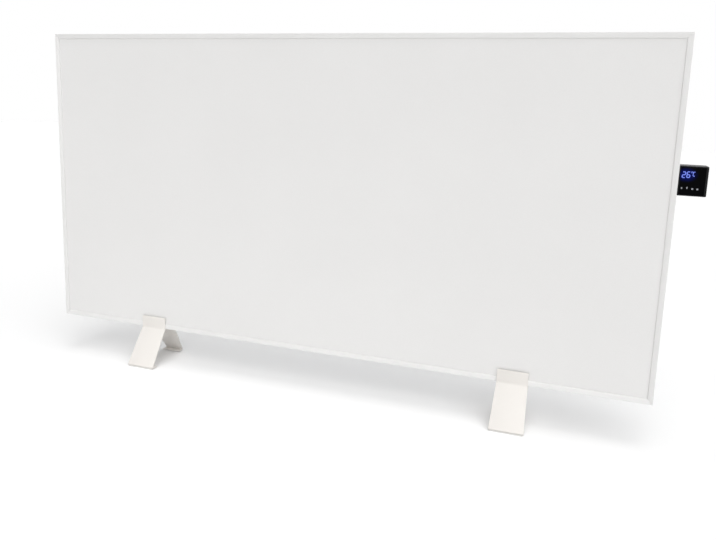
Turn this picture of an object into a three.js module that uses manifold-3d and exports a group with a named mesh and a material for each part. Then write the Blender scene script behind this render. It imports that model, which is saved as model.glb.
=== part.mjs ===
// Infrared panel heater on two clamp feet: a thin framed radiant panel with a small control housing
// that reaches past its right edge. Millimetres, +Z up, the radiant front faces -Y. The origin lies
// on the floor, under the middle of the overall width and depth.

import * as THREE from 'three';
import { mergeVertices } from 'three/addons/utils/BufferGeometryUtils.js';
import Module from 'manifold-3d';

const wasm = await Module();
wasm.setup();

// ---------------------------------------------------------------------------------------------
// Driving dimensions
// ---------------------------------------------------------------------------------------------

// Clearances
const FIT = 0.3; // between a piece and its seat, or what it slides or turns in
const FILM = 0.1; // glue film or paint between two flat faces that bear on each other

// Panel
const PANEL_WIDTH = 1195;
const PANEL_HEIGHT = 595;
const PANEL_DEPTH = 22;
const PANEL_LIFT = 72; // floor to the lower edge of the frame

// Frame profile, an E section whose open side faces inwards
const FRAME_WALL = 1.4;
const FRONT_LIP_WIDTH = 9;
const FRONT_LIP_THICKNESS = 1.6;
const REAR_LIP_WIDTH = 14;
const REAR_LIP_THICKNESS = 1.4;
const RIB_WIDTH = 7.6;
const RIB_THICKNESS = 1.2;
const FRAME_EDGE_RADIUS = 0.7;
const MITRE_GAP = 0.1;

// Corner keys inside the frame profile
const KEY_LEG = 45;
const KEY_WIDTH = 6;

// Layers of the panel, front to back
const SHEET_THICKNESS = 0.6;
const GASKET_WIDTH = 5.6;
const GASKET_THICKNESS = 2.4;
const BOARD_THICKNESS = 1;
const TRACK_THICKNESS = 0.3;
const FOIL_THICKNESS = 0.2;
const COVER_THICKNESS = 0.5;
const CORE_CLEARANCE = 1.8; // from the corner keys to the edge of the layers between them

// Serpentine heating track
const TRACK_WIDTH = 12;
const TRACK_PITCH = 41;
const TRACK_MARGIN = 20;
const TERMINAL_SPREAD = 26;

// Control housing
const CONTROL_HEIGHT = 46.5;
const CONTROL_CENTRE_Z = 371.2; // above the lower edge of the frame
const CONTROL_REACH = 42; // past the right edge of the frame
const CONTROL_INSIDE = 92.5; // behind the panel, from the same edge
const CONTROL_BEHIND = 24; // behind the back of the frame
const CONTROL_FACE = 4; // display face, behind the front of the frame
const HOUSING_WALL = 2;
const HOUSING_RADIUS = 3;
const BASE_THICKNESS = 1.5;
const STANDOFF_HEIGHT = 4;
const STANDOFF_RADIUS = 2.4;
const CIRCUIT_BOARD = 1.6;

// Display
const BEZEL_THICKNESS = 2;
const BEZEL_SIDE = 2;
const BEZEL_OUTER_SIDE = 3.2;
const BEZEL_TOP = 1.5;
const BEZEL_LEDGE = 1.5;
const BEZEL_LEDGE_THICKNESS = 0.4;
const BEZEL_SKIRT = 6;
const BEZEL_SKIRT_WALL = 1.2;
const RIB_REACH = 3; // ledges that carry the display board
const RIB_DEPTH = 3.5;
const DIGITS_WIDTH = 23;
const DIGITS_HEIGHT = 14;
const DIGITS_ABOVE = 10; // above the middle of the housing
const TOUCH_COUNT = 4;
const TOUCH_PITCH = 7.5;
const TOUCH_RADIUS = 2.2;
const TOUCH_BELOW = 11.3;
const TOUCH_STRIP = 1.5;
const RECEIVER = [6, 4.4, 7];

// Components on the power board, as width, depth and height
const RELAY = [19, 15, 15];
const POWER_MODULE = [20, 14, 15];
const WIRELESS_MODULE = [16, 3, 11];
const TERMINAL_BLOCK = [18, 10.8, 20];
const POWER_BOARD_WIDTH = 44;
const POWER_BOARD_HEIGHT = 38;
const COMPONENT_MARGIN = 1.5;

// Housing screws
const SCREW_RADIUS = 1.5;
const SCREW_HEAD_RADIUS = 3.2;
const SCREW_HEAD = 2.2;
const SCREW_CROWN_RADIUS = 2.56;
const SCREW_RECESS = 1.92; // from the middle to the end of one arm
const SCREW_BLADE = 0.45; // half the width of an arm
const SCREW_BOSS_RADIUS = 3.6;
const SCREW_INSET = 7;
const SCREW_POINT = 1.5; // past the sheet that it grips

// Cable gland in the floor of the housing
const GLAND_BORE = 3.8;
const GLAND_THREAD = 5.8;
const GLAND_HEX = 8;
const GLAND_FLANGE = 4;
const GLAND_TAIL = 8;
const GLAND_LOCKNUT = 3.5;
const GLAND_CAP_WALL = 1.8;
const GLAND_CAP_NOSE = 3;
const GLAND_FROM_EDGE = 27; // inwards from the right edge of the frame

// Mains switch in the back of the housing
const SWITCH_POCKET_WIDTH = 9.6;
const SWITCH_POCKET_HEIGHT = 16.4;
const SWITCH_POCKET_DEPTH = 7.2;
const SWITCH_WALL = 1;
const SWITCH_FLANGE = 1.3;
const SWITCH_RIM = 2.4; // round the pocket
const SWITCH_RIM_RADIUS = 1;
const SWITCH_BODY_DEPTH = 14;
const ROCKER_PIVOT = 3; // below the face of the flange
const ROCKER_PIN = 1;
const ROCKER_PIN_REACH = 0.5;
const ROCKER_TILT = 10;
const ROCKER_RISE = 1.2;
const ROCKER_VALLEY = 2.5;
const ROCKER_KEEL = 0.4; // width of its back against its face

// Wiring between the track and the terminal block
const WIRE_RADIUS = 1.2;
const GROMMET_BORE = 3.2;
const GROMMET_SLEEVE = 1.8;
const GROMMET_FLANGE = 2;
const GROMMET_FLANGE_THICKNESS = 1.5;
const CUTOUT_RADIUS = 8;
const CUTOUT_HEIGHT = 6;
const CUTOUT_CAP = 2;
const CUTOUT_CAP_RADIUS = 5.6;
const SENSOR_RADIUS = 2.2;
const SENSOR_LENGTH = 11;
const SENSOR_SHOWS = 3;

// Hanger brackets
const WALL_SPACE = 28; // back of the frame to the wall
const HANGER_SHEET = 1.5;
const HANGER_WIDTH = 40;
const HANGER_HEIGHT = 40;
const HANGER_FLANGE = 15;
const HANGER_FROM_SIDE = 150;
const HANGER_FROM_EDGE = 95;
const KEYHOLE_RADIUS = 5;
const KEYHOLE_SLOT = 2.5;
const KEYHOLE_TRAVEL = 12;
const KEYHOLE_DROP = 4;

// Clamp feet
const FOOT_WIDTH = 54; // at the frame
const FOOT_FRONT_WIDTH = 59.5; // at the front toe
const FOOT_REAR_WIDTH = 40; // at the rear toe
const FOOT_SPACING = 738.5; // between the middles of the two feet
const FOOT_DEPTH = 126; // over the toes
const FOOT_SHEET = 2;
const FOOT_FLANGE = 23; // height of the flanges above the frame's lower edge
const FOOT_LIP = 16;
const FOOT_BEND = 3;
const PAD_THICKNESS = 2;
const PAD_DEPTH = 12;
const PAD_INSET = 2;
const CLAMP_SPACE = 6; // back of the frame to the rear flange
const CLAMP_HEIGHT = 10;
const CLAMP_TIP = 2.5;
const CLAMP_TIP_RADIUS = 4.5;
const CLAMP_NOSE = 1.5;
const CLAMP_NOSE_DEPTH = 1.2;
const CLAMP_THREAD = 2.3;
const CLAMP_NUT = 4;
const CLAMP_NUT_RADIUS = 4.6;
const CLAMP_KNOB = 10;
const CLAMP_KNOB_RADIUS = 9;
const CLAMP_KNOB_LOBES = 10;
const CLAMP_KNOB_SCALLOP = 0.6;
const CLAMP_STANDS_OFF = 3; // knob to nut when the clamp is tight

const HOLE_SEGMENTS = 8; // half the sides of a drilled hole
const CURVE_SEGMENTS = 4; // steps in the curve of one rounded corner
const ROUND_SIDES = 24; // sides of a rod or a turned piece
const SMALL_SIDES = 16; // and of a thin one
const HEX_SIDES = 6;
const CORNER_SHARE = 0.45; // most of an edge that the rounding of one end may take
const PAST = 1; // how far a cutting shape reaches beyond the face it cuts

// ---------------------------------------------------------------------------------------------
// Places that follow from them, in the panel's frame: x from the middle of the panel, y from the
// front of the frame backwards, z from its lower edge
// ---------------------------------------------------------------------------------------------

const behind = (y, thickness) => ({ front: y + FILM, back: y + FILM + thickness });
const SHEET = behind(FRONT_LIP_THICKNESS, SHEET_THICKNESS);
const GASKET = behind(SHEET.back, GASKET_THICKNESS);
const RIB = behind(GASKET.back, RIB_THICKNESS);
const BOARD = behind(SHEET.back, BOARD_THICKNESS);
const TRACK = behind(BOARD.back, TRACK_THICKNESS);
const FOIL = behind(TRACK.back, FOIL_THICKNESS);
const COVER_BACK = PANEL_DEPTH - REAR_LIP_THICKNESS - FILM;
const COVER = { front: COVER_BACK - COVER_THICKNESS, back: COVER_BACK };
const INSULATION = { front: FOIL.back + FILM, back: COVER.front - FILM };
const SHEET_INSET = FRAME_WALL + FIT;
const CORE_INSET = Math.max(RIB_WIDTH, SHEET_INSET + KEY_WIDTH) + CORE_CLEARANCE;
const EDGE = PANEL_WIDTH / 2;

const HOUSING_FRONT = CONTROL_FACE + BEZEL_THICKNESS + FILM;
const HOUSING_BACK = PANEL_DEPTH + CONTROL_BEHIND;
const BASE = behind(COVER.back, BASE_THICKNESS);
const POWER_BOARD_FRONT = BASE.back + STANDOFF_HEIGHT + FIT;
const POWER_BOARD_BACK = POWER_BOARD_FRONT + CIRCUIT_BOARD;
const POWER_BOARD_X = -(REAR_LIP_WIDTH + POWER_BOARD_WIDTH / 2 + 2 * HOUSING_WALL);
const SKIRT_BACK = HOUSING_FRONT + BEZEL_SKIRT;
const DISPLAY_BOARD = { front: SKIRT_BACK + FIT, back: SKIRT_BACK + FIT + CIRCUIT_BOARD };
const TRACK_TERMINAL_X = EDGE - CORE_INSET - TRACK_MARGIN;
const TERMINAL_X = -CONTROL_INSIDE + HOUSING_WALL + 2 * SCREW_BOSS_RADIUS + TERMINAL_BLOCK[0] / 2;
const SCREW_Z = CONTROL_HEIGHT / 2 - HOUSING_WALL - SCREW_BOSS_RADIUS + FIT;
const SCREW_XS = [SCREW_INSET - CONTROL_INSIDE, -(FRAME_WALL + SHEET_INSET + REAR_LIP_WIDTH) / 2 + FIT];
const SWITCH_X = CONTROL_REACH / 2;
const CLAMP_BACK = PANEL_DEPTH + CLAMP_SPACE + FOOT_SHEET;

// ---------------------------------------------------------------------------------------------
// Finishes
// ---------------------------------------------------------------------------------------------

const finish = (color, roughness, metalness) =>
  new THREE.MeshStandardMaterial({ color, roughness, metalness });

const WHITE_COAT = finish('#e8e7e4', 0.6, 0.0);
const FRAME_COAT = finish('#eae9e6', 0.45, 0.1);
const FOOT_COAT = finish('#f1ece4', 0.5, 0.0);
const COVER_COAT = finish('#d9dadb', 0.5, 0.3);
const ZINC = finish('#b9bdc1', 0.35, 0.9);
const DARK_BOARD = finish('#3a3733', 0.8, 0.0);
const FOIL_METAL = finish('#d5d7da', 0.25, 0.95);
const FIBRE = finish('#e3d9b8', 0.95, 0.0);
const BLACK_SHELL = finish('#161617', 0.5, 0.0);
const BLACK_GLASS = finish('#060608', 0.06, 0.0);
const CIRCUIT_GREEN = finish('#1e5a35', 0.6, 0.0);
const RUBBER = finish('#2a2a2b', 0.85, 0.0);
const WIRE_RED = finish('#a8231c', 0.5, 0.0);
const WIRE_BLUE = finish('#1f4fa0', 0.5, 0.0);
const COMPONENT_BLUE = finish('#2468a8', 0.45, 0.0);
const COMPONENT_GREY = finish('#8d9094', 0.5, 0.0);

// ---------------------------------------------------------------------------------------------
// Solids and outlines
// ---------------------------------------------------------------------------------------------

/** A manifold solid from a closed three.js geometry. */
function solidOf(geometry) {
  const bare = geometry.clone();
  for (const name of ['normal', 'uv']) bare.deleteAttribute(name);
  const merged = mergeVertices(bare, 1e-4);
  const vertProperties = new Float32Array(merged.attributes.position.array);
  const triVerts = new Uint32Array(merged.index.array);
  return new wasm.Manifold(new wasm.Mesh({ numProp: 3, vertProperties, triVerts }));
}

/** A three.js geometry from a manifold solid. */
function geometryOf(solid) {
  const mesh = solid.getMesh();
  const geometry = new THREE.BufferGeometry();
  geometry.setAttribute('position', new THREE.BufferAttribute(mesh.vertProperties, 3));
  geometry.setIndex(new THREE.BufferAttribute(mesh.triVerts, 1));
  const faceted = geometry.toNonIndexed();
  faceted.computeVertexNormals();
  return faceted;
}

/** The geometry with the others joined to it. */
function join(geometry, ...others) {
  const start = solidOf(geometry);
  return geometryOf(others.reduce((solid, other) => solid.add(solidOf(other)), start));
}

/** The geometry with the others cut out of it. */
function cut(geometry, ...others) {
  const start = solidOf(geometry);
  return geometryOf(others.reduce((solid, other) => solid.subtract(solidOf(other)), start));
}

/** What the two geometries have in common. */
function common(geometry, other) {
  return geometryOf(solidOf(geometry).intersect(solidOf(other)));
}

/** A closed outline through [x, y, radius] corners; a corner with a radius is rounded. */
function outline(corners) {
  const shape = new THREE.Shape();
  corners.forEach(([x, y, radius = 0], i) => {
    const corner = new THREE.Vector2(x, y);
    const before = new THREE.Vector2(...corners.at(i - 1));
    const after = new THREE.Vector2(...corners[(i + 1) % corners.length]);
    const shorter = Math.min(corner.distanceTo(before), corner.distanceTo(after));
    const reach = Math.min(radius, shorter * CORNER_SHARE);
    const enter = corner.clone().add(before.sub(corner).setLength(reach));
    const leave = corner.clone().add(after.sub(corner).setLength(reach));
    if (i === 0) shape.moveTo(enter.x, enter.y);
    else shape.lineTo(enter.x, enter.y);
    if (reach > 0) shape.quadraticCurveTo(x, y, leave.x, leave.y);
  });
  shape.closePath();
  return shape;
}

/** A rectangle from its low to its high corner. */
function rectangle(x0, y0, x1, y1, radius = 0) {
  return outline([[x0, y0, radius], [x1, y0, radius], [x1, y1, radius], [x0, y1, radius]]);
}

/** The shape with round holes, each [x, y, radius], and other shapes cut through it. */
function pierced(shape, holes, cutouts = []) {
  for (const [x, y, radius] of holes) {
    shape.holes.push(new THREE.Path().absarc(x, y, radius, 0, 2 * Math.PI));
  }
  shape.holes.push(...cutouts);
  return shape;
}

/** A shape drawn on x and y, raised along z. */
function raised(shape, height, curveSegments = CURVE_SEGMENTS) {
  return new THREE.ExtrudeGeometry(shape, { depth: height, bevelEnabled: false, curveSegments });
}

/** A shape drawn on x and z as a standing plate, from y 0 back to its thickness. */
function standing(shape, thickness, curveSegments = CURVE_SEGMENTS) {
  return raised(shape, thickness, curveSegments).rotateX(Math.PI / 2).translate(0, thickness, 0);
}

/** A section drawn on y and z, run along x and centred there. */
function alongX(section, length, curveSegments = CURVE_SEGMENTS) {
  const turn = new THREE.Matrix4().makeBasis(
    new THREE.Vector3(0, 1, 0), new THREE.Vector3(0, 0, 1), new THREE.Vector3(1, 0, 0));
  return raised(section, length, curveSegments).applyMatrix4(turn).translate(-length / 2, 0, 0);
}

/** A block between two corners. */
function block(x0, y0, z0, x1, y1, z1) {
  return new THREE.BoxGeometry(x1 - x0, y1 - y0, z1 - z0)
    .translate((x0 + x1) / 2, (y0 + y1) / 2, (z0 + z1) / 2);
}

/** A round rod along y, between two depths. */
function rodY(radius, y0, y1, x = 0, z = 0, sides = ROUND_SIDES) {
  return new THREE.CylinderGeometry(radius, radius, y1 - y0, sides).translate(x, (y0 + y1) / 2, z);
}

/** A round or six-sided rod along z, between two heights. */
function rodZ(radius, z0, z1, x = 0, y = 0, sides = ROUND_SIDES) {
  return new THREE.CylinderGeometry(radius, radius, z1 - z0, sides)
    .rotateX(Math.PI / 2).translate(x, y, (z0 + z1) / 2);
}

/** A round rod along x, centred on the origin. */
function rodX(radius, length, sides = SMALL_SIDES) {
  return new THREE.CylinderGeometry(radius, radius, length, sides).rotateZ(Math.PI / 2);
}

/** A turned piece about y, from its [radius, y] profile, given from low to high y on the outside. */
function turned(profile, sides = ROUND_SIDES) {
  return new THREE.LatheGeometry(profile.map(([radius, y]) => new THREE.Vector2(radius, y)), sides);
}

/** A round wire along a smooth curve through points. */
function wire(points, radius) {
  const path = new THREE.CatmullRomCurve3(points.map((point) => new THREE.Vector3(...point)));
  const section = new THREE.Shape().absarc(0, 0, radius, 0, 2 * Math.PI);
  const settings = { steps: ROUND_SIDES, extrudePath: path, curveSegments: CURVE_SEGMENTS };
  return new THREE.ExtrudeGeometry(section, settings);
}

/** A named piece, placed in its group. */
function piece(name, geometry, material, x = 0, y = 0, z = 0) {
  const mesh = new THREE.Mesh(geometry, material);
  mesh.name = name;
  mesh.position.set(x, y, z);
  return mesh;
}

// ---------------------------------------------------------------------------------------------
// Frame
// ---------------------------------------------------------------------------------------------

/** A frame member along x with its outer face on z 0, both ends mitred at 45 degrees. */
function frameMember(length) {
  const section = outline([
    [0, 0, FRAME_EDGE_RADIUS],
    [0, FRONT_LIP_WIDTH, FRAME_EDGE_RADIUS],
    [FRONT_LIP_THICKNESS, FRONT_LIP_WIDTH],
    [FRONT_LIP_THICKNESS, FRAME_WALL],
    [RIB.front, FRAME_WALL],
    [RIB.front, RIB_WIDTH],
    [RIB.back, RIB_WIDTH],
    [RIB.back, FRAME_WALL],
    [PANEL_DEPTH - REAR_LIP_THICKNESS, FRAME_WALL],
    [PANEL_DEPTH - REAR_LIP_THICKNESS, REAR_LIP_WIDTH],
    [PANEL_DEPTH, REAR_LIP_WIDTH, FRAME_EDGE_RADIUS],
    [PANEL_DEPTH, 0, FRAME_EDGE_RADIUS],
  ]);
  const geometry = alongX(section, length);
  const position = geometry.attributes.position;
  for (let i = 0; i < position.count; i += 1) {
    const x = position.getX(i);
    position.setX(i, x - Math.sign(x) * (position.getZ(i) + MITRE_GAP));
  }
  return geometry;
}

/** The right member, drilled in its rear lip for the two outer housing screws. */
function drilledMember(length) {
  const middle = CONTROL_CENTRE_Z - length / 2;
  const drill = [-SCREW_Z, SCREW_Z].map((z) =>
    rodY(SCREW_RADIUS + FIT, COVER.back, PANEL_DEPTH + PAST, middle + z, -SCREW_XS[1], SMALL_SIDES));
  return cut(frameMember(length), ...drill);
}

/** The four mitred members. */
function frame() {
  const group = new THREE.Group();
  const bottom = piece('frame_bottom', frameMember(PANEL_WIDTH), FRAME_COAT);
  const top = piece('frame_top', frameMember(PANEL_WIDTH), FRAME_COAT, 0, 0, PANEL_HEIGHT);
  top.rotation.y = Math.PI;
  const left = piece('frame_left', frameMember(PANEL_HEIGHT), FRAME_COAT, -EDGE, 0, PANEL_HEIGHT / 2);
  left.rotation.y = Math.PI / 2;
  const right = piece('frame_right', drilledMember(PANEL_HEIGHT), FRAME_COAT, EDGE, 0, PANEL_HEIGHT / 2);
  right.rotation.y = -Math.PI / 2;
  return group.add(bottom, top, left, right);
}

/** The four angle keys that hold the mitres, in the chamber between rib and back cover. */
function cornerKeys() {
  const front = RIB.back + FIT;
  const angle = outline([
    [0, 0, KEY_WIDTH / 4], [KEY_LEG, 0], [KEY_LEG, KEY_WIDTH],
    [KEY_WIDTH, KEY_WIDTH], [KEY_WIDTH, KEY_LEG], [0, KEY_LEG],
  ]);
  const places = [
    ['corner_key_bottom_left', -1, 0, 0],
    ['corner_key_bottom_right', 1, 0, -Math.PI / 2],
    ['corner_key_top_right', 1, PANEL_HEIGHT, Math.PI],
    ['corner_key_top_left', -1, PANEL_HEIGHT, Math.PI / 2],
  ];
  const group = new THREE.Group();
  for (const [name, side, z, turn] of places) {
    const inwards = z === 0 ? 1 : -1;
    const key = piece(name, standing(angle, COVER.front - FIT - front), ZINC,
      side * (EDGE - SHEET_INSET), front, z + inwards * SHEET_INSET);
    key.rotation.y = turn;
    group.add(key);
  }
  return group;
}

// ---------------------------------------------------------------------------------------------
// Layers of the panel
// ---------------------------------------------------------------------------------------------

/** The panel's outline, moved in from the outside of the frame. */
function panelOutline(inset) {
  return rectangle(-EDGE + inset, inset, EDGE - inset, PANEL_HEIGHT - inset);
}

/** Opening in foil and insulation for the terminals, the thermal cut-out and the wires. */
function wiringPocket() {
  const left = EDGE - CONTROL_INSIDE + HOUSING_WALL;
  const right = TRACK_TERMINAL_X + TRACK_WIDTH / 2 + CORE_CLEARANCE;
  const half = CONTROL_HEIGHT / 2 + 2 * SCREW_BOSS_RADIUS;
  return rectangle(left, CONTROL_CENTRE_Z - half, right, CONTROL_CENTRE_Z + half);
}

/** Outline of a band of the given width along a right-angled path. */
function band(path, width) {
  const side = (sign) => path.map((point, i) => {
    const normals = [];
    if (i > 0) normals.push(point.clone().sub(path[i - 1]).normalize());
    if (i < path.length - 1) normals.push(path[i + 1].clone().sub(point).normalize());
    const offset = new THREE.Vector2();
    for (const run of normals) offset.add(new THREE.Vector2(-run.y, run.x));
    return point.clone().addScaledVector(offset, (sign * width) / 2);
  });
  return new THREE.Shape([...side(1), ...side(-1).reverse()]);
}

/** The serpentine resistance track: rows across the board, both ends at the wiring pocket. */
function trackShape() {
  const inset = CORE_INSET + TRACK_MARGIN;
  const span = PANEL_HEIGHT - 2 * inset;
  const rows = 2 * Math.round(span / TRACK_PITCH / 2);
  const left = -EDGE + inset;
  const turn = TRACK_TERMINAL_X - 2 * TRACK_WIDTH;
  const path = [new THREE.Vector2(TRACK_TERMINAL_X, CONTROL_CENTRE_Z - TERMINAL_SPREAD / 2)];
  for (let row = 0; row < rows; row += 1) {
    const z = inset + (span * row) / (rows - 1);
    const right = row === 0 || row === rows - 1 ? TRACK_TERMINAL_X : turn;
    const ends = row % 2 === 0 ? [right, left] : [left, right];
    path.push(new THREE.Vector2(ends[0], z), new THREE.Vector2(ends[1], z));
  }
  path.push(new THREE.Vector2(TRACK_TERMINAL_X, CONTROL_CENTRE_Z + TERMINAL_SPREAD / 2));
  return band(path, TRACK_WIDTH);
}

/** Radiant sheet, gasket, heater board, track, foil, insulation and back cover. */
function layers() {
  const group = new THREE.Group();
  const gasket = pierced(panelOutline(SHEET_INSET), [], [panelOutline(SHEET_INSET + GASKET_WIDTH)]);
  const screwHoles = SCREW_XS.flatMap((x) => [-SCREW_Z, SCREW_Z].map((z) =>
    [EDGE + x, CONTROL_CENTRE_Z + z, SCREW_RADIUS + FIT]));
  const grommetHole = [EDGE + TERMINAL_X, CONTROL_CENTRE_Z, GROMMET_BORE + GROMMET_SLEEVE + FIT];
  const cover = pierced(panelOutline(SHEET_INSET), [grommetHole, ...screwHoles]);
  const foil = pierced(panelOutline(CORE_INSET), [], [wiringPocket()]);
  const insulation = pierced(panelOutline(CORE_INSET), [], [wiringPocket()]);
  return group.add(
    piece('radiant_sheet', standing(panelOutline(SHEET_INSET), SHEET_THICKNESS), WHITE_COAT, 0, SHEET.front),
    piece('edge_gasket', standing(gasket, GASKET_THICKNESS), RUBBER, 0, GASKET.front),
    piece('heater_board', standing(panelOutline(CORE_INSET), BOARD_THICKNESS), DARK_BOARD, 0, BOARD.front),
    piece('heating_track', standing(trackShape(), TRACK_THICKNESS), FOIL_METAL, 0, TRACK.front),
    piece('reflective_foil', standing(foil, FOIL_THICKNESS), FOIL_METAL, 0, FOIL.front),
    piece('insulation_board', standing(insulation, INSULATION.back - INSULATION.front), FIBRE,
      0, INSULATION.front),
    piece('back_cover', standing(cover, COVER_THICKNESS, HOLE_SEGMENTS), COVER_COAT, 0, COVER.front),
  );
}

// ---------------------------------------------------------------------------------------------
// Hanger brackets
// ---------------------------------------------------------------------------------------------

/** A top-hat bracket along z with a keyhole in its crown; its flanges lie on y 0. */
function hangerBracket() {
  const crown = HANGER_WIDTH / 2;
  const flange = crown + HANGER_FLANGE;
  const rise = PANEL_DEPTH + WALL_SPACE - COVER.back - FILM;
  const t = HANGER_SHEET;
  const hat = outline([
    [-flange, 0], [t - crown, 0, t], [t - crown, rise - t, t], [crown - t, rise - t, t], [crown - t, 0, t],
    [flange, 0], [flange, t], [crown, t, t], [crown, rise, 2 * t], [-crown, rise, 2 * t], [-crown, t, t],
    [-flange, t],
  ]);
  const slotTop = KEYHOLE_TRAVEL - KEYHOLE_DROP;
  return cut(
    raised(hat, HANGER_HEIGHT).translate(0, 0, -HANGER_HEIGHT / 2),
    rodY(KEYHOLE_RADIUS, rise - t - PAST, rise + PAST, 0, -KEYHOLE_DROP),
    rodY(KEYHOLE_SLOT, rise - t - PAST, rise + PAST, 0, slotTop),
    block(-KEYHOLE_SLOT, rise - t - PAST, -KEYHOLE_DROP, KEYHOLE_SLOT, rise + PAST, slotTop),
  );
}

/** The four brackets, spot-welded to the back cover. */
function hangers() {
  const group = new THREE.Group();
  for (const [side, x] of [['left', -1], ['right', 1]]) {
    for (const [level, z] of [['bottom', HANGER_FROM_EDGE], ['top', PANEL_HEIGHT - HANGER_FROM_EDGE]]) {
      group.add(piece(`hanger_${level}_${side}`, hangerBracket(), ZINC,
        x * (EDGE - HANGER_FROM_SIDE), COVER.back + FILM, z));
    }
  }
  return group;
}

// ---------------------------------------------------------------------------------------------
// Control housing, in its own frame: x from the right edge of the frame, z from its middle
// ---------------------------------------------------------------------------------------------

/** The black shell: a tub behind the panel whose end wraps forwards round the frame. */
function housingShell() {
  const half = CONTROL_HEIGHT / 2;
  const wall = HOUSING_WALL;
  const step = -(REAR_LIP_WIDTH + FIT);
  const plan = outline([
    [-CONTROL_INSIDE, BASE.front], [-CONTROL_INSIDE, HOUSING_BACK, HOUSING_RADIUS],
    [CONTROL_REACH, HOUSING_BACK, HOUSING_RADIUS], [CONTROL_REACH, HOUSING_FRONT],
    [FIT, HOUSING_FRONT], [FIT, PANEL_DEPTH + FIT], [step, PANEL_DEPTH + FIT], [step, BASE.front],
  ]);
  const hollow = outline([
    [wall - CONTROL_INSIDE, BASE.front - PAST], [wall - CONTROL_INSIDE, HOUSING_BACK - wall, wall],
    [CONTROL_REACH - wall, HOUSING_BACK - wall, wall], [CONTROL_REACH - wall, HOUSING_FRONT - PAST],
    [FIT + wall, HOUSING_FRONT - PAST], [FIT + wall, PANEL_DEPTH + FIT + wall],
    [step - wall, PANEL_DEPTH + FIT + wall], [step - wall, BASE.front - PAST],
  ]);
  const tub = cut(
    raised(plan, CONTROL_HEIGHT).translate(0, 0, -half),
    raised(hollow, CONTROL_HEIGHT - 2 * wall).translate(0, 0, wall - half),
  );
  const screws = SCREW_XS.flatMap((x) => [-SCREW_Z, SCREW_Z].map((z) => [x, z]));
  const bosses = screws.map(([x, z]) => {
    const front = x === SCREW_XS[0] ? BASE.back + FIT : PANEL_DEPTH + FIT;
    return rodY(SCREW_BOSS_RADIUS, front, HOUSING_BACK - wall / 2, x, z, SMALL_SIDES);
  });
  const ledge = DISPLAY_BOARD.back + FIT;
  const ledgeHalf = half - wall / 2;
  const ledges = [
    [FIT + wall / 2, FIT + wall + RIB_REACH],
    [CONTROL_REACH - wall - RIB_REACH, CONTROL_REACH - wall / 2],
  ].map(([x0, x1]) => block(x0, ledge, -ledgeHalf, x1, ledge + RIB_DEPTH, ledgeHalf));
  const holes = screws.flatMap(([x, z]) => [
    rodY(SCREW_RADIUS + FIT, BASE.front - PAST, HOUSING_BACK + PAST, x, z, SMALL_SIDES),
    rodY(SCREW_HEAD_RADIUS + FIT, HOUSING_BACK - SCREW_HEAD - FIT, HOUSING_BACK + PAST, x, z, ROUND_SIDES),
  ]);
  const switchWide = SWITCH_POCKET_WIDTH / 2 + SWITCH_WALL + FIT;
  const switchHigh = SWITCH_POCKET_HEIGHT / 2 + SWITCH_WALL + FIT;
  return cut(
    join(tub, ...bosses, ...ledges),
    ...holes,
    block(SWITCH_X - switchWide, HOUSING_BACK - wall - PAST, -switchHigh,
      SWITCH_X + switchWide, HOUSING_BACK + PAST, switchHigh),
    rodZ(GLAND_THREAD + FIT, -half - PAST, wall + PAST - half, -GLAND_FROM_EDGE, glandY()),
    rodZ(SENSOR_RADIUS + FIT, -half - PAST, wall + PAST - half, sensorX(), glandY(), SMALL_SIDES),
  );
}

/** Middle of the space behind the power board, where the gland and the sensor come in. */
function glandY() {
  return (POWER_BOARD_BACK + HOUSING_BACK - HOUSING_WALL) / 2;
}

/** The sensor sits between the terminal block and the power board. */
function sensorX() {
  return (TERMINAL_X + TERMINAL_BLOCK[0] / 2 + POWER_BOARD_X - POWER_BOARD_WIDTH / 2) / 2;
}

/** Base plate on the back cover, with the pillars of the power board. */
function housingBase() {
  const left = HOUSING_WALL + FIT - CONTROL_INSIDE;
  const right = -(REAR_LIP_WIDTH + FIT + HOUSING_WALL + FIT);
  const half = CONTROL_HEIGHT / 2 - HOUSING_WALL - FIT;
  const holes = [-SCREW_Z, SCREW_Z].map((z) => [SCREW_XS[0], z, SCREW_RADIUS + FIT]);
  const grommetHole = [TERMINAL_X, 0, GROMMET_BORE + GROMMET_SLEEVE + FIT];
  const floor = pierced(rectangle(left, -half, right, half), [grommetHole, ...holes]);
  const plate = standing(floor, BASE_THICKNESS, HOLE_SEGMENTS);
  const pillars = [-1, 1].flatMap((sx) => [-1, 1].map((sz) =>
    rodY(STANDOFF_RADIUS, BASE_THICKNESS / 2, BASE_THICKNESS + STANDOFF_HEIGHT,
      POWER_BOARD_X + sx * (POWER_BOARD_WIDTH / 2 - STANDOFF_RADIUS - FIT),
      sz * (POWER_BOARD_HEIGHT / 2 - STANDOFF_RADIUS), SMALL_SIDES)));
  return join(plate, ...pillars).translate(0, BASE.front, 0);
}

/** A housing screw with a cross recess, along y at its place. */
function housingScrew() {
  const seat = HOUSING_BACK - SCREW_HEAD - FIT;
  const crown = HOUSING_BACK - FIT;
  const point = COVER.front - SCREW_POINT;
  const body = turned([
    [0, point], [SCREW_RADIUS, point + SCREW_RADIUS], [SCREW_RADIUS, seat], [SCREW_HEAD_RADIUS, seat],
    [SCREW_HEAD_RADIUS, crown - SCREW_HEAD / 3], [SCREW_CROWN_RADIUS, crown], [0, crown],
  ], SMALL_SIDES);
  const floor = crown - SCREW_HEAD / 2;
  return cut(
    body,
    block(-SCREW_RECESS, floor, -SCREW_BLADE, SCREW_RECESS, crown + PAST, SCREW_BLADE),
    block(-SCREW_BLADE, floor, -SCREW_RECESS, SCREW_BLADE, crown + PAST, SCREW_RECESS),
  );
}

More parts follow.
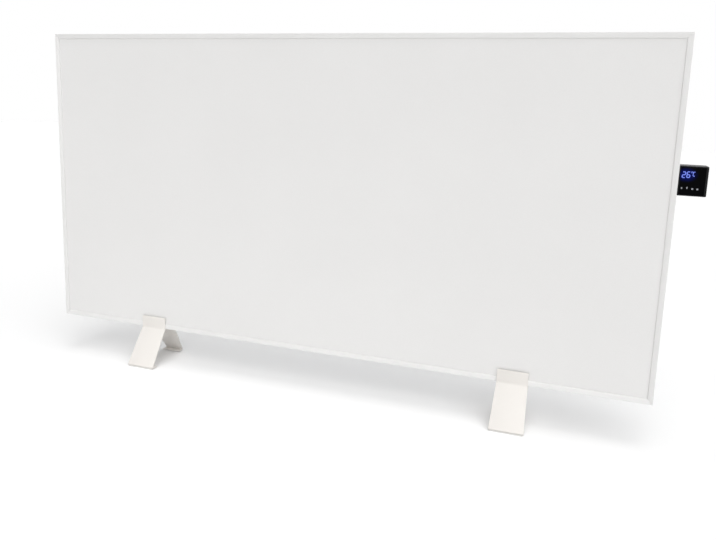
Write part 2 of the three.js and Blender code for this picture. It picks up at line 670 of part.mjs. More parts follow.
/** Bezel: a frame with a rebate for the window and a skirt inside the housing. */
function bezel() {
  const half = CONTROL_HEIGHT / 2;
  const rebate = windowSpace(0);
  const throat = windowSpace(BEZEL_LEDGE);
  const wall = BEZEL_SKIRT_WALL;
  const back = CONTROL_FACE + BEZEL_THICKNESS;
  const ledge = back - BEZEL_LEDGE_THICKNESS;
  const left = FIT + HOUSING_WALL + FIT;
  const right = CONTROL_REACH - HOUSING_WALL - FIT;
  const high = half - HOUSING_WALL - FIT;
  const face = standing(rectangle(FIT, -half, CONTROL_REACH, half, HOUSING_RADIUS / 2), BEZEL_THICKNESS)
    .translate(0, CONTROL_FACE, 0);
  return cut(
    join(face, block(left, ledge, -high, right, SKIRT_BACK, high)),
    block(rebate.left, CONTROL_FACE - PAST, rebate.low, rebate.right, ledge, rebate.high),
    block(throat.left, CONTROL_FACE - PAST, throat.low, throat.right, back + PAST, throat.high),
    block(left + wall, back, wall - high, right - wall, SKIRT_BACK + PAST, high - wall),
  );
}

/** The window's rebate in the bezel, made smaller all round by an inset. */
function windowSpace(inset) {
  const half = CONTROL_HEIGHT / 2 - BEZEL_TOP - inset;
  return {
    left: FIT + BEZEL_SIDE + inset, right: CONTROL_REACH - BEZEL_OUTER_SIDE - inset, low: -half, high: half,
  };
}

/** Window, bezel, digit module, touch pads, infrared receiver and their board. */
function display() {
  const half = CONTROL_HEIGHT / 2 - HOUSING_WALL - FIT;
  const seat = windowSpace(FILM);
  const windowBack = CONTROL_FACE + BEZEL_THICKNESS - BEZEL_LEDGE_THICKNESS - FILM;
  const throat = windowSpace(BEZEL_LEDGE);
  const behindWindow = windowBack + FIT;
  const onBoard = DISPLAY_BOARD.front - FILM;
  const digitsLeft = throat.left + FIT;
  const touchLeft = throat.left + FIT + TOUCH_RADIUS;
  const stripRight = touchLeft + (TOUCH_COUNT - 1) * TOUCH_PITCH + TOUCH_RADIUS;
  const padBack = onBoard - TOUCH_STRIP / 2;
  const pads = Array.from({ length: TOUCH_COUNT }, (_, i) =>
    rodY(TOUCH_RADIUS, behindWindow, padBack, touchLeft + i * TOUCH_PITCH, -TOUCH_BELOW, SMALL_SIDES));
  const strip = block(touchLeft - TOUCH_RADIUS, onBoard - TOUCH_STRIP, -TOUCH_BELOW - TOUCH_RADIUS,
    stripRight, onBoard, TOUCH_RADIUS - TOUCH_BELOW);
  const pane = block(seat.left, CONTROL_FACE, seat.low, seat.right, windowBack, seat.high);
  const group = new THREE.Group();
  return group.add(
    piece('display_bezel', bezel(), BLACK_SHELL),
    piece('display_window', pane, BLACK_GLASS),
    piece('digit_module', block(digitsLeft, behindWindow, DIGITS_ABOVE - DIGITS_HEIGHT / 2,
      digitsLeft + DIGITS_WIDTH, onBoard, DIGITS_ABOVE + DIGITS_HEIGHT / 2), COMPONENT_GREY),
    piece('touch_pads', join(strip, ...pads), RUBBER),
    piece('infrared_receiver', block(throat.right - FIT - RECEIVER[0], onBoard - RECEIVER[1], DIGITS_ABOVE,
      throat.right - FIT, onBoard, DIGITS_ABOVE + RECEIVER[2]), BLACK_GLASS),
    piece('display_board', block(FIT + HOUSING_WALL + FIT, DISPLAY_BOARD.front, -half,
      CONTROL_REACH - HOUSING_WALL - FIT, DISPLAY_BOARD.back, half), CIRCUIT_GREEN),
  );
}

/** Power board with relay, power module and wireless module, and the terminal block beside it. */
function electronics() {
  const left = POWER_BOARD_X - POWER_BOARD_WIDTH / 2;
  const right = POWER_BOARD_X + POWER_BOARD_WIDTH / 2;
  const half = POWER_BOARD_HEIGHT / 2;
  const seat = POWER_BOARD_BACK + FILM;
  const onBoard = (name, size, x, z, material) =>
    piece(name, block(x, seat, z, x + size[0], seat + size[1], z + size[2]), material);
  const [width, depth, height] = TERMINAL_BLOCK;
  const group = new THREE.Group();
  return group.add(
    piece('power_board', block(left, POWER_BOARD_FRONT, -half, right, POWER_BOARD_BACK, half),
      CIRCUIT_GREEN),
    onBoard('relay', RELAY, left + COMPONENT_MARGIN, half - COMPONENT_MARGIN - RELAY[2], COMPONENT_BLUE),
    onBoard('power_module', POWER_MODULE, right - COMPONENT_MARGIN - POWER_MODULE[0],
      half - COMPONENT_MARGIN - POWER_MODULE[2], BLACK_SHELL),
    onBoard('wireless_module', WIRELESS_MODULE, left + COMPONENT_MARGIN,
      half - 2 * COMPONENT_MARGIN - RELAY[2] - WIRELESS_MODULE[2], ZINC),
    piece('terminal_block', block(TERMINAL_X - width / 2, BASE.back + FILM, -height / 2,
      TERMINAL_X + width / 2, BASE.back + FILM + depth, height / 2), FIBRE),
  );
}

/** Cable gland: threaded body through the floor of the housing, locknut inside, cap below. */
function gland() {
  const floor = -CONTROL_HEIGHT / 2;
  const collar = floor - FILM;
  const tailEnd = collar - GLAND_FLANGE - GLAND_TAIL;
  const nutSeat = floor + HOUSING_WALL + FILM;
  const top = nutSeat + GLAND_LOCKNUT + FIT;
  const body = cut(
    join(rodZ(GLAND_THREAD, tailEnd, top), rodZ(GLAND_HEX, collar - GLAND_FLANGE, collar, 0, 0, HEX_SIDES)),
    rodZ(GLAND_BORE, tailEnd - PAST, top + PAST),
  );
  const locknut = cut(
    rodZ(GLAND_HEX, nutSeat, nutSeat + GLAND_LOCKNUT, 0, 0, HEX_SIDES),
    rodZ(GLAND_THREAD + FIT, nutSeat - PAST, nutSeat + GLAND_LOCKNUT + PAST),
  );
  const capTop = collar - GLAND_FLANGE - FIT;
  const capInner = GLAND_THREAD + FIT;
  const capOuter = capInner + GLAND_CAP_WALL;
  const noseTop = tailEnd - FIT;
  const noseEnd = noseTop - GLAND_CAP_NOSE;
  const cap = turned([
    [GLAND_BORE, noseEnd], [capOuter - GLAND_CAP_WALL, noseEnd], [capOuter, noseTop], [capOuter, capTop],
    [capInner, capTop], [capInner, noseTop], [GLAND_BORE, noseTop], [GLAND_BORE, noseEnd],
  ]).rotateX(Math.PI / 2);
  const group = new THREE.Group();
  group.position.set(-GLAND_FROM_EDGE, glandY(), 0);
  return group.add(
    piece('gland_body', body, BLACK_SHELL),
    piece('gland_locknut', locknut, BLACK_SHELL),
    piece('gland_cap', cap, BLACK_SHELL),
  );
}

/** Mains switch: a flanged body in the back wall and a rocker on a pin, tilted to its on side. */
function mainsSwitch() {
  const wide = SWITCH_POCKET_WIDTH / 2;
  const high = SWITCH_POCKET_HEIGHT / 2;
  const seat = HOUSING_BACK + FILM;
  const face = seat + SWITCH_FLANGE;
  const pivot = face - ROCKER_PIVOT;
  const rim = rectangle(-wide - SWITCH_RIM, -high - SWITCH_RIM, wide + SWITCH_RIM, high + SWITCH_RIM,
    SWITCH_RIM_RADIUS);
  const body = cut(
    join(
      block(-wide - SWITCH_WALL, seat - SWITCH_BODY_DEPTH, -high - SWITCH_WALL,
        wide + SWITCH_WALL, face - SWITCH_FLANGE / 2, high + SWITCH_WALL),
      standing(rim, SWITCH_FLANGE).translate(0, seat, 0),
    ),
    block(-wide, face - SWITCH_POCKET_DEPTH, -high, wide, face + PAST, high),
    rodX(ROCKER_PIN + FIT, 2 * (wide + ROCKER_PIN_REACH + FIT) - FIT).translate(0, pivot, 0),
  );
  const reach = high - 3 * FIT;
  const section = outline([
    [ROCKER_VALLEY + ROCKER_RISE, -reach, FIT], [ROCKER_VALLEY, 0], [ROCKER_VALLEY + ROCKER_RISE, reach, FIT],
    [ROCKER_RISE, reach], [-ROCKER_VALLEY, reach * ROCKER_KEEL],
    [-ROCKER_VALLEY, -reach * ROCKER_KEEL], [ROCKER_RISE, -reach],
  ]);
  const rocker = piece('switch_rocker', join(alongX(section, 2 * (wide - FIT)),
    rodX(ROCKER_PIN, 2 * (wide + ROCKER_PIN_REACH) - FIT)), BLACK_SHELL, 0, pivot);
  rocker.rotation.x = THREE.MathUtils.degToRad(ROCKER_TILT);
  const group = new THREE.Group();
  group.position.set(SWITCH_X, 0, 0);
  return group.add(piece('switch_body', body, BLACK_SHELL), rocker);
}

/** Thermal cut-out, grommet, the two lead wires and the room temperature sensor. */
function wiring() {
  const trackX = TRACK_TERMINAL_X - EDGE;
  const start = TRACK.back + FIT;
  const cutoutX = (TERMINAL_X + trackX) / 2;
  const cutoutBack = TRACK.back + FILM + CUTOUT_HEIGHT;
  const cutout = turned([
    [0, TRACK.back + FILM], [CUTOUT_RADIUS, TRACK.back + FILM], [CUTOUT_RADIUS, cutoutBack],
    [CUTOUT_CAP_RADIUS, cutoutBack], [CUTOUT_CAP_RADIUS, cutoutBack + CUTOUT_CAP],
    [0, cutoutBack + CUTOUT_CAP],
  ]);
  const flangeBack = COVER.front - FIT;
  const flangeFront = flangeBack - GROMMET_FLANGE_THICKNESS;
  const sleeve = GROMMET_BORE + GROMMET_SLEEVE;
  const grommet = turned([
    [GROMMET_BORE, flangeFront], [sleeve + GROMMET_FLANGE, flangeFront],
    [sleeve + GROMMET_FLANGE, flangeBack], [sleeve, flangeBack], [sleeve, BASE.back],
    [GROMMET_BORE, BASE.back], [GROMMET_BORE, flangeFront],
  ]);
  const lead = (side) => wire([
    [trackX, start, (side * TERMINAL_SPREAD) / 2],
    [trackX - WIRE_RADIUS, start + 4 * WIRE_RADIUS, (side * TERMINAL_SPREAD) / 2],
    [cutoutX, (start + flangeFront) / 2, side * (CUTOUT_RADIUS + 2 * WIRE_RADIUS + FIT)],
    [TERMINAL_X + 4 * WIRE_RADIUS, flangeFront - 5 * WIRE_RADIUS, 3 * side * WIRE_RADIUS],
    [TERMINAL_X, flangeFront - WIRE_RADIUS, side * (WIRE_RADIUS + FIT)],
    [TERMINAL_X, BASE.back + FILM - FIT, side * (WIRE_RADIUS + FIT)],
  ], WIRE_RADIUS);
  const sensorTip = -CONTROL_HEIGHT / 2 - SENSOR_SHOWS;
  const straight = SENSOR_LENGTH - 2 * SENSOR_RADIUS;
  const sensor = new THREE.CapsuleGeometry(SENSOR_RADIUS, straight, CURVE_SEGMENTS, SMALL_SIDES)
    .rotateX(Math.PI / 2);
  const group = new THREE.Group();
  return group.add(
    piece('thermal_cutout', cutout, COMPONENT_GREY, cutoutX),
    piece('wire_grommet', grommet, RUBBER, TERMINAL_X),
    piece('lead_wire_live', lead(1), WIRE_RED),
    piece('lead_wire_neutral', lead(-1), WIRE_BLUE),
    piece('room_sensor', sensor, COMPONENT_GREY, sensorX(), glandY(), sensorTip + SENSOR_LENGTH / 2),
  );
}

/** The whole control housing with what it holds. */
function controlHousing() {
  const group = new THREE.Group();
  group.position.set(EDGE, 0, CONTROL_CENTRE_Z);
  group.add(piece('control_housing', housingShell(), BLACK_SHELL));
  group.add(piece('housing_base', housingBase(), BLACK_SHELL));
  SCREW_XS.forEach((x, column) => [-SCREW_Z, SCREW_Z].forEach((z, row) => {
    group.add(piece(`housing_screw_${2 * column + row + 1}`, housingScrew(), ZINC, x, 0, z));
  }));
  return group.add(display(), electronics(), gland(), mainsSwitch(), wiring());
}

// ---------------------------------------------------------------------------------------------
// Clamp feet
// ---------------------------------------------------------------------------------------------

/** Section of a foot on y and z: two flanges round the frame, a saddle and two splayed leaves. */
function footSection() {
  const t = FOOT_SHEET;
  const bottom = PAD_THICKNESS - PANEL_LIFT;
  const saddle = -FIT;
  const leaf = (flange, toe, side) => {
    const run = (z) => flange + ((toe - flange) * (saddle - z)) / (saddle - bottom);
    const level = (t * Math.hypot(toe - flange, saddle - bottom)) / (saddle - bottom);
    const inner = (z) => run(z) + side * level;
    return [
      [flange, FOOT_FLANGE, t / 3], [flange, saddle, FOOT_BEND], [toe, bottom, FOOT_BEND],
      [toe + side * FOOT_LIP, bottom], [toe + side * FOOT_LIP, bottom + t],
      [inner(bottom + t), bottom + t, t / 2], [inner(saddle - t), saddle - t, t / 2],
    ];
  };
  const middle = PANEL_DEPTH / 2;
  const front = leaf(-FIT - t, middle - FOOT_DEPTH / 2, 1);
  const rear = leaf(PANEL_DEPTH + CLAMP_SPACE + t, middle + FOOT_DEPTH / 2, -1);
  return outline([
    ...front, ...rear.reverse(),
    [PANEL_DEPTH + CLAMP_SPACE, FOOT_FLANGE, t / 3], [PANEL_DEPTH + CLAMP_SPACE, saddle, t / 2],
    [-FIT, saddle, t / 2], [-FIT, FOOT_FLANGE, t / 3],
  ]);
}

/** Plan of a foot: wider towards the front toe, narrower towards the rear one. */
function footPlan() {
  const toe = FOOT_DEPTH / 2 + PAST;
  const sides = [
    [FOOT_FRONT_WIDTH / 2, PANEL_DEPTH / 2 - toe], [FOOT_WIDTH / 2, -FIT - FOOT_SHEET],
    [FOOT_WIDTH / 2, CLAMP_BACK], [FOOT_REAR_WIDTH / 2, PANEL_DEPTH / 2 + toe],
  ];
  return outline([...sides, ...sides.map(([x, y]) => [-x, y]).reverse()]);
}

/** The bent and welded sheet foot, with its clamp hole. */
function footBracket() {
  const height = FOOT_FLANGE + PANEL_LIFT;
  const leaves = common(
    alongX(footSection(), FOOT_FRONT_WIDTH + FOOT_WIDTH),
    raised(footPlan(), height).translate(0, 0, -PANEL_LIFT),
  );
  return cut(
    leaves,
    rodY(CLAMP_THREAD + FIT, PANEL_DEPTH + CLAMP_SPACE - PAST, CLAMP_BACK + PAST, 0, CLAMP_HEIGHT,
      SMALL_SIDES),
  );
}

/** Clamp screw about y: nose in the tip, threaded stem, scalloped knob. */
function clampScrew() {
  const tipBack = PANEL_DEPTH + FIT + CLAMP_TIP;
  const knobFront = CLAMP_BACK + FILM + CLAMP_NUT + CLAMP_STANDS_OFF;
  const stem = turned([
    [0, tipBack - CLAMP_NOSE_DEPTH], [CLAMP_NOSE, tipBack - CLAMP_NOSE_DEPTH], [CLAMP_NOSE, tipBack + FIT],
    [CLAMP_THREAD, tipBack + FIT], [CLAMP_THREAD, knobFront + 1], [0, knobFront + 1],
  ], SMALL_SIDES);
  const steps = CLAMP_KNOB_LOBES * 4;
  const rim = Array.from({ length: steps }, (_, i) => {
    const angle = (2 * Math.PI * i) / steps;
    const radius = CLAMP_KNOB_RADIUS - CLAMP_KNOB_SCALLOP * (1 - Math.cos(CLAMP_KNOB_LOBES * angle)) / 2;
    return new THREE.Vector2(radius * Math.cos(angle), radius * Math.sin(angle));
  });
  return join(standing(new THREE.Shape(rim), CLAMP_KNOB).translate(0, knobFront, 0), stem);
}

/** Swivel tip that bears on the frame, with the socket of the screw's nose. */
function clampTip() {
  const front = PANEL_DEPTH + FIT;
  const back = front + CLAMP_TIP;
  const socket = back - CLAMP_NOSE_DEPTH - FIT;
  return turned([
    [0, front], [CLAMP_TIP_RADIUS, front], [CLAMP_TIP_RADIUS, back - CLAMP_TIP / 3],
    [CLAMP_TIP_RADIUS - CLAMP_TIP / 3, back], [CLAMP_NOSE + FIT, back],
    [CLAMP_NOSE + FIT, socket], [0, socket],
  ]);
}

/** Hexagonal nut, welded on the outside of the rear flange. */
function clampNut() {
  const front = CLAMP_BACK + FILM;
  return cut(
    rodY(CLAMP_NUT_RADIUS, front, front + CLAMP_NUT, 0, 0, HEX_SIDES),
    rodY(CLAMP_THREAD + FIT, front - PAST, front + CLAMP_NUT + PAST, 0, 0, SMALL_SIDES),
  );
}

/** Rubber pad under a toe of the given width. */
function footPad(width) {
  const half = width / 2 - PAD_INSET;
  return block(-half, -PAD_DEPTH / 2, 0, half, PAD_DEPTH / 2, PAD_THICKNESS - FILM);
}

/** One foot with its pads, nut, clamp screw and tip. */
function foot(side, x) {
  const group = new THREE.Group();
  group.position.x = x;
  const toe = FOOT_DEPTH / 2 - PAD_INSET - PAD_DEPTH / 2;
  return group.add(
    piece(`foot_bracket_${side}`, footBracket(), FOOT_COAT),
    piece(`foot_pad_${side}_front`, footPad(FOOT_FRONT_WIDTH), RUBBER, 0, PANEL_DEPTH / 2 - toe, -PANEL_LIFT),
    piece(`foot_pad_${side}_rear`, footPad(FOOT_REAR_WIDTH), RUBBER, 0, PANEL_DEPTH / 2 + toe, -PANEL_LIFT),
    piece(`clamp_nut_${side}`, clampNut(), ZINC, 0, 0, CLAMP_HEIGHT),
    piece(`clamp_tip_${side}`, clampTip(), RUBBER, 0, 0, CLAMP_HEIGHT),
    piece(`clamp_screw_${side}`, clampScrew(), BLACK_SHELL, 0, 0, CLAMP_HEIGHT),
  );
}

// ---------------------------------------------------------------------------------------------
// Heater
// ---------------------------------------------------------------------------------------------

const panel = new THREE.Group();
panel.position.set(-CONTROL_REACH / 2, -PANEL_DEPTH / 2, PANEL_LIFT);
panel.add(frame(), cornerKeys(), layers(), hangers(), controlHousing());
panel.add(foot('left', -FOOT_SPACING / 2), foot('right', FOOT_SPACING / 2));

const heater = new THREE.Group();
heater.add(panel);

export default heater;
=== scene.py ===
"""Studio scene of an infrared panel heater that stands on two clamp feet.

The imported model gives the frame. The classes below model what is seen of it, one class for each
sub-assembly, and dress the rest. Lengths are millimetres wherever a class or a bench call takes
one, and the bench turns them into metres.
"""

from __future__ import annotations

import logging
import math
from collections.abc import Callable, Iterable, Mapping, Sequence
from dataclasses import dataclass, field
from enum import Enum

import bmesh
import bpy
from mathutils import Matrix, Vector


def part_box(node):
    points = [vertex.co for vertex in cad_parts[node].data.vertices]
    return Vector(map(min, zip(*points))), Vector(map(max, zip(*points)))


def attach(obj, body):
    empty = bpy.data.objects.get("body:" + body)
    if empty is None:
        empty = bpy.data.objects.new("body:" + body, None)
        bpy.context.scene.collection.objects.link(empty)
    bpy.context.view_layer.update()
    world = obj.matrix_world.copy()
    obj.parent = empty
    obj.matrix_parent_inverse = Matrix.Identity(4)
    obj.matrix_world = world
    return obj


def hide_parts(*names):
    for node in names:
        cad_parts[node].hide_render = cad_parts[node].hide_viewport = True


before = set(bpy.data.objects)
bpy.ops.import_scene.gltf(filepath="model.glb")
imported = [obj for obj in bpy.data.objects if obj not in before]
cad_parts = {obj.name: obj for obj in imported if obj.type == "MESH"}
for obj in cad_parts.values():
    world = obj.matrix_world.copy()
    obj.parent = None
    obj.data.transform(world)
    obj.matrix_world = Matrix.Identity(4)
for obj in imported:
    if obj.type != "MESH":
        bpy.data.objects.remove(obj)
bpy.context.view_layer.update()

LOG = logging.getLogger("panel_heater")

Pair = tuple[float, float]
Triple = tuple[float, float, float]
Quad = tuple[float, float, float, float]
Point = Triple
Colour = Triple
Test = Callable[[Vector, Vector], bool]

# A millimetre in metres, and a metre in millimetres.
MM = 0.001
METRE = 1000.0
# How close in millimetres a picked place must be, and the closer limit where pieces crowd.
NEAR = 0.1
CLOSE = 0.01
# Least share of a normal or direction along an axis to count as being along it.
STRAIGHT = 0.9
# Metres under which corners merge, and the play of a cutting plane.
MERGED = 1e-6
PLANE_PLAY = 1e-7
# The range that noise keeps to.
NOISE_RANGE = (0.3, 0.7)
ORIGIN: Point = (0.0, 0.0, 0.0)
BLACK: Colour = (0.0, 0.0, 0.0)
WHITE: Colour = (1.0, 1.0, 1.0)


class Body(Enum):
    """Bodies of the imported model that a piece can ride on."""

    HEATER = "heater"
    ROCKER = "rocker"
    FOOT_LEFT = "foot_left"
    FOOT_RIGHT = "foot_right"
    TIP_LEFT = "clamp_tip_left"
    TIP_RIGHT = "clamp_tip_right"
    SCREW_LEFT = "clamp_screw_left"
    SCREW_RIGHT = "clamp_screw_right"


class Slot(Enum):
    """Material slots of the record, named with each modelled piece."""

    FRAME = "frame_coat"
    FOOT = "foot_coat"
    ZINC = "zinc_steel"
    BLACK = "black_plastic"
    WINDOW = "display_window"
    RUBBER = "rubber"
    PAD = "pad_rubber"


class Part(Enum):
    """What a pick selects in edit mode."""

    VERT = "VERT"
    EDGE = "EDGE"
    FACE = "FACE"


# ---- Shader maths ----


class Signal:
    """One output of a shader node that Python arithmetic can go on with."""

    def __init__(self, recipe: Recipe, socket: bpy.types.NodeSocket) -> None:
        """Keeps the recipe and its socket."""
        self.recipe = recipe
        self.socket = socket

    def _maths(self, operation: str, first: Term, second: Term) -> Signal:
        """Adds one Math node on two terms."""
        return self.recipe.add("ShaderNodeMath", {"operation": operation}, {0: first, 1: second})

    def __add__(self, other: Term) -> Signal:
        """This signal plus a term."""
        return self._maths("ADD", self, other)

    def __radd__(self, other: Term) -> Signal:
        """A term plus this signal."""
        return self._maths("ADD", other, self)

    def __sub__(self, other: Term) -> Signal:
        """This signal less a term."""
        return self._maths("SUBTRACT", self, other)

    def __rsub__(self, other: Term) -> Signal:
        """A term less this signal."""
        return self._maths("SUBTRACT", other, self)

    def __mul__(self, other: Term) -> Signal:
        """This signal times a term."""
        return self._maths("MULTIPLY", self, other)

    def __rmul__(self, other: Term) -> Signal:
        """A term times this signal."""
        return self._maths("MULTIPLY", other, self)

    def __truediv__(self, other: Term) -> Signal:
        """This signal over a term."""
        return self._maths("DIVIDE", self, other)

    def __rtruediv__(self, other: Term) -> Signal:
        """A term over this signal."""
        return self._maths("DIVIDE", other, self)

    def __pow__(self, other: Term) -> Signal:
        """This signal to the power of a term."""
        return self._maths("POWER", self, other)

    def __rpow__(self, other: Term) -> Signal:
        """A term to the power of this signal."""
        return self._maths("POWER", other, self)

    def __or__(self, other: Term) -> Signal:
        """The larger of this signal and a term, so 1 where either is 1."""
        return self._maths("MAXIMUM", self, other)

    def __ror__(self, other: Term) -> Signal:
        """The larger of a term and this signal."""
        return self._maths("MAXIMUM", other, self)


Term = Signal | float | Sequence[float]


class Recipe:
    """The node tree of one material or world, written as expressions."""

    def __init__(self, owner: bpy.types.Material | bpy.types.World) -> None:
        """Starts an empty node tree.

        Args:
            owner: New material or world.
        """
        self.owner = owner
        self.owner.use_nodes = True
        self.tree = self.owner.node_tree
        self.tree.nodes.clear()

    def add(
        self,
        kind: str,
        settings: Mapping[str, object] | None = None,
        inputs: Mapping[int | str, Term] | None = None,
        out: int | str = 0,
    ) -> Signal | None:
        """Adds one node, sets it up and feeds it.

        Args:
            kind: Node type.
            settings: Properties of the node, set before its inputs.
            inputs: Values or signals by socket number or name.
            out: Socket of the node to return.

        Returns:
            The chosen output, or None for a node that has none.
        """
        node = self.tree.nodes.new(kind)
        for key, value in (settings or {}).items():
            setattr(node, key, value)
        for key, term in (inputs or {}).items():
            if isinstance(term, Signal):
                self.tree.links.new(term.socket, node.inputs[key])
            else:
                node.inputs[key].default_value = term
        return Signal(self, node.outputs[out]) if len(node.outputs) else None

    def place(self, stretch: Point = (1.0, 1.0, 1.0)) -> Signal:
        """Object coordinates, stretched along the axes."""
        raw = self.add("ShaderNodeTexCoord", out="Object")
        return self.add("ShaderNodeMapping", {}, {"Vector": raw, "Scale": stretch})

    def noise(
        self,
        grain: float,
        detail: float = 2.0,
        rough: float = 0.5,
        stretch: Point = (1.0, 1.0, 1.0),
    ) -> Signal:
        """Noise of a given grain size.

        Args:
            grain: Size of one blotch in millimetres.
            detail: Octaves.
            rough: Strength of the finer octaves.
            stretch: Factors along the axes.

        Returns:
            A value round 0.5.
        """
        inputs = {"Scale": METRE / grain, "Detail": detail, "Roughness": rough}
        return self.add("ShaderNodeTexNoise", {}, {"Vector": self.place(stretch), **inputs})

    def seams(self, size: float) -> Signal:
        """Distance to the edges of cells of a given size in millimetres."""
        inputs = {"Vector": self.place(), "Scale": METRE / size}
        return self.add("ShaderNodeTexVoronoi", {"feature": "DISTANCE_TO_EDGE"}, inputs)

    def span(self, term: Signal, low: float, high: float, start: float, end: float) -> Signal:
        """Maps a signal's range low to high onto start to end, held at both ends.

        Args:
            term: Signal to map.
            low: Value that becomes start.
            high: Value that becomes end.
            start: Result at low.
            end: Result at high.

        Returns:
            The mapped signal.
        """
        inputs = {0: term, 1: low, 2: high, 3: start, 4: end}
        return self.add("ShaderNodeMapRange", {"interpolation_type": "SMOOTHSTEP"}, inputs)

    def spread(self, term: Signal, start: float = 0.0, end: float = 1.0) -> Signal:
        """Maps the range that noise keeps to onto start to end."""
        return self.span(term, *NOISE_RANGE, start, end)

    def tint(self, share: Term, first: Colour | Signal, second: Colour | Signal) -> Signal:
        """Mixes two colours.

        Args:
            share: 0 for the first colour, 1 for the second.
            first: Colour or signal.
            second: Colour or signal.

        Returns:
            The mixed colour.
        """
        ends = [term if isinstance(term, Signal) else rgba(term) for term in (first, second)]
        inputs = {0: share, 6: ends[0], 7: ends[1]}
        return self.add("ShaderNodeMix", {"data_type": "RGBA"}, inputs, out=2)

    def bump(self, height: Signal, depth: float) -> Signal:
        """Normals of a height signal whose full range is a depth in millimetres."""
        inputs = {"Height": height, "Distance": depth * MM, "Strength": 1.0}
        return self.add("ShaderNodeBump", {}, inputs)

    def surface(self, inputs: Mapping[str, Term]) -> bpy.types.Material:
        """Ends the recipe with a Principled shader.

        Args:
            inputs: Values or signals of the shader's sockets.

        Returns:
            The material.
        """
        shader = self.add("ShaderNodeBsdfPrincipled", {}, inputs)
        self.add("ShaderNodeOutputMaterial", {}, {"Surface": shader})
        return self.owner


def rgba(colour: Colour) -> Quad:
    """The colour with full alpha."""
    return (*colour, 1.0)


def shaded(colour: Colour, share: float, lift: float = 0.0) -> Colour:
    """The colour times a share plus a lift, no brighter than white."""
    return tuple(min(1.0, value * share + lift) for value in colour)


# ---- Finishes ----


@dataclass(frozen=True)
class Finish:
    """A surface finish; each kind mixes its own recipe."""

    name: str

    def mixed(self, recipe: Recipe) -> bpy.types.Material:
        """Fills the recipe of this finish."""
        raise NotImplementedError

    def material(self) -> bpy.types.Material:
        """The material of this finish, made on first use."""
        made = bpy.data.materials.get(self.name)
        return made or self.mixed(Recipe(bpy.data.materials.new(self.name)))


@dataclass(frozen=True)
class PowderCoat(Finish):
    """Baked powder coat: fine grain over a faint orange peel."""

    colour: Colour = (0.8, 0.79, 0.78)
    grain: float = 0.6
    roughness: float = 0.55
    metal: float = 0.0
    relief: float = 0.012
    darkest: float = 0.975
    lightest: float = 1.012

    def mixed(self, recipe: Recipe) -> bpy.types.Material:
        """Mixes the coat.

        Args:
            recipe: Empty recipe.

        Returns:
            The material.
        """
        grain = recipe.noise(self.grain, 3.0, 0.6)
        peel = recipe.noise(self.grain * 5, 2.0, 0.45)
        cloud = recipe.noise(180.0, 2.0, 0.4)
        dark, light = (shaded(self.colour, share) for share in (self.darkest, self.lightest))
        return recipe.surface({
            "Base Color": recipe.tint(recipe.spread(grain * 0.7 + cloud * 0.3), dark, light),
            "Roughness": recipe.spread(peel, self.roughness - 0.05, self.roughness + 0.07),
            "Metallic": self.metal,
            "Specular IOR Level": 0.35,
            "Normal": recipe.bump(grain * 0.75 + peel * 0.5, self.relief),
        })


@dataclass(frozen=True)
class MouldedPlastic(Finish):
    """Moulding from a spark-eroded tool: fine even texture, slight shine on its crests."""

    colour: Colour = (0.012, 0.012, 0.013)
    texture: float = 0.35
    roughness: float = 0.45
    specular: float = 0.3
    relief: float = 0.02

    def mixed(self, recipe: Recipe) -> bpy.types.Material:
        """Mixes the plastic.

        Args:
            recipe: Empty recipe.

        Returns:
            The material.
        """
        crests = recipe.noise(self.texture, 2.0, 0.55)
        flow = recipe.noise(22.0, 2.0, 0.5, (1.0, 1.0, 0.35))
        light = tuple(value * 1.5 + 0.002 for value in self.colour)
        share = recipe.span(crests * 0.6 + flow * 0.4, 0.35, 0.7, 0.0, 1.0)
        return recipe.surface({
            "Base Color": recipe.tint(share, self.colour, light),
            "Roughness": recipe.spread(crests, self.roughness + 0.08, self.roughness - 0.06),
            "Specular IOR Level": self.specular,
            "Normal": recipe.bump(crests, self.relief),
        })


@dataclass(frozen=True)
class ZincPlate(Finish):
    """Zinc-plated steel: fine rolling lines, soft blotches and a trace of yellow passivation."""

    colour: Colour = (0.56, 0.57, 0.59)
    passivation: Colour = (0.6, 0.57, 0.48)
    roughness: float = 0.34
    relief: float = 0.006

    def mixed(self, recipe: Recipe) -> bpy.types.Material:
        """Mixes the plating.

        Args:
            recipe: Empty recipe.

        Returns:
            The material.
        """
        lines = recipe.noise(1.6, 3.0, 0.6, (0.06, 1.0, 1.0))
        blotch = recipe.noise(9.0, 3.0, 0.55)
        share = recipe.span(blotch, 0.45, 0.8, 0.0, 0.6)
        wear = lines * 0.5 + blotch * 0.5
        return recipe.surface({
            "Base Color": recipe.tint(share, self.colour, self.passivation),
            "Roughness": recipe.spread(wear, self.roughness - 0.08, self.roughness + 0.12),
            "Metallic": 1.0,
            "Normal": recipe.bump(lines, self.relief),
        })


@dataclass(frozen=True)
class Rubber(Finish):
    """Moulded rubber with a dusty bloom."""

    colour: Colour = (0.03, 0.03, 0.031)
    bloom: float = 1.7
    relief: float = 0.03

    def mixed(self, recipe: Recipe) -> bpy.types.Material:
        """Mixes the rubber.

        Args:
            recipe: Empty recipe.

        Returns:
            The material.
        """
        dust = recipe.noise(5.0, 4.0, 0.6)
        skin = recipe.noise(0.5, 2.0, 0.5)
        light = shaded(self.colour, self.bloom, 0.01)
        return recipe.surface({
            "Base Color": recipe.tint(recipe.span(dust, 0.4, 0.75, 0.0, 0.5), self.colour, light),
            "Roughness": recipe.spread(dust, 0.7, 0.85),
            "Specular IOR Level": 0.25,
            "Normal": recipe.bump(skin, self.relief),
        })


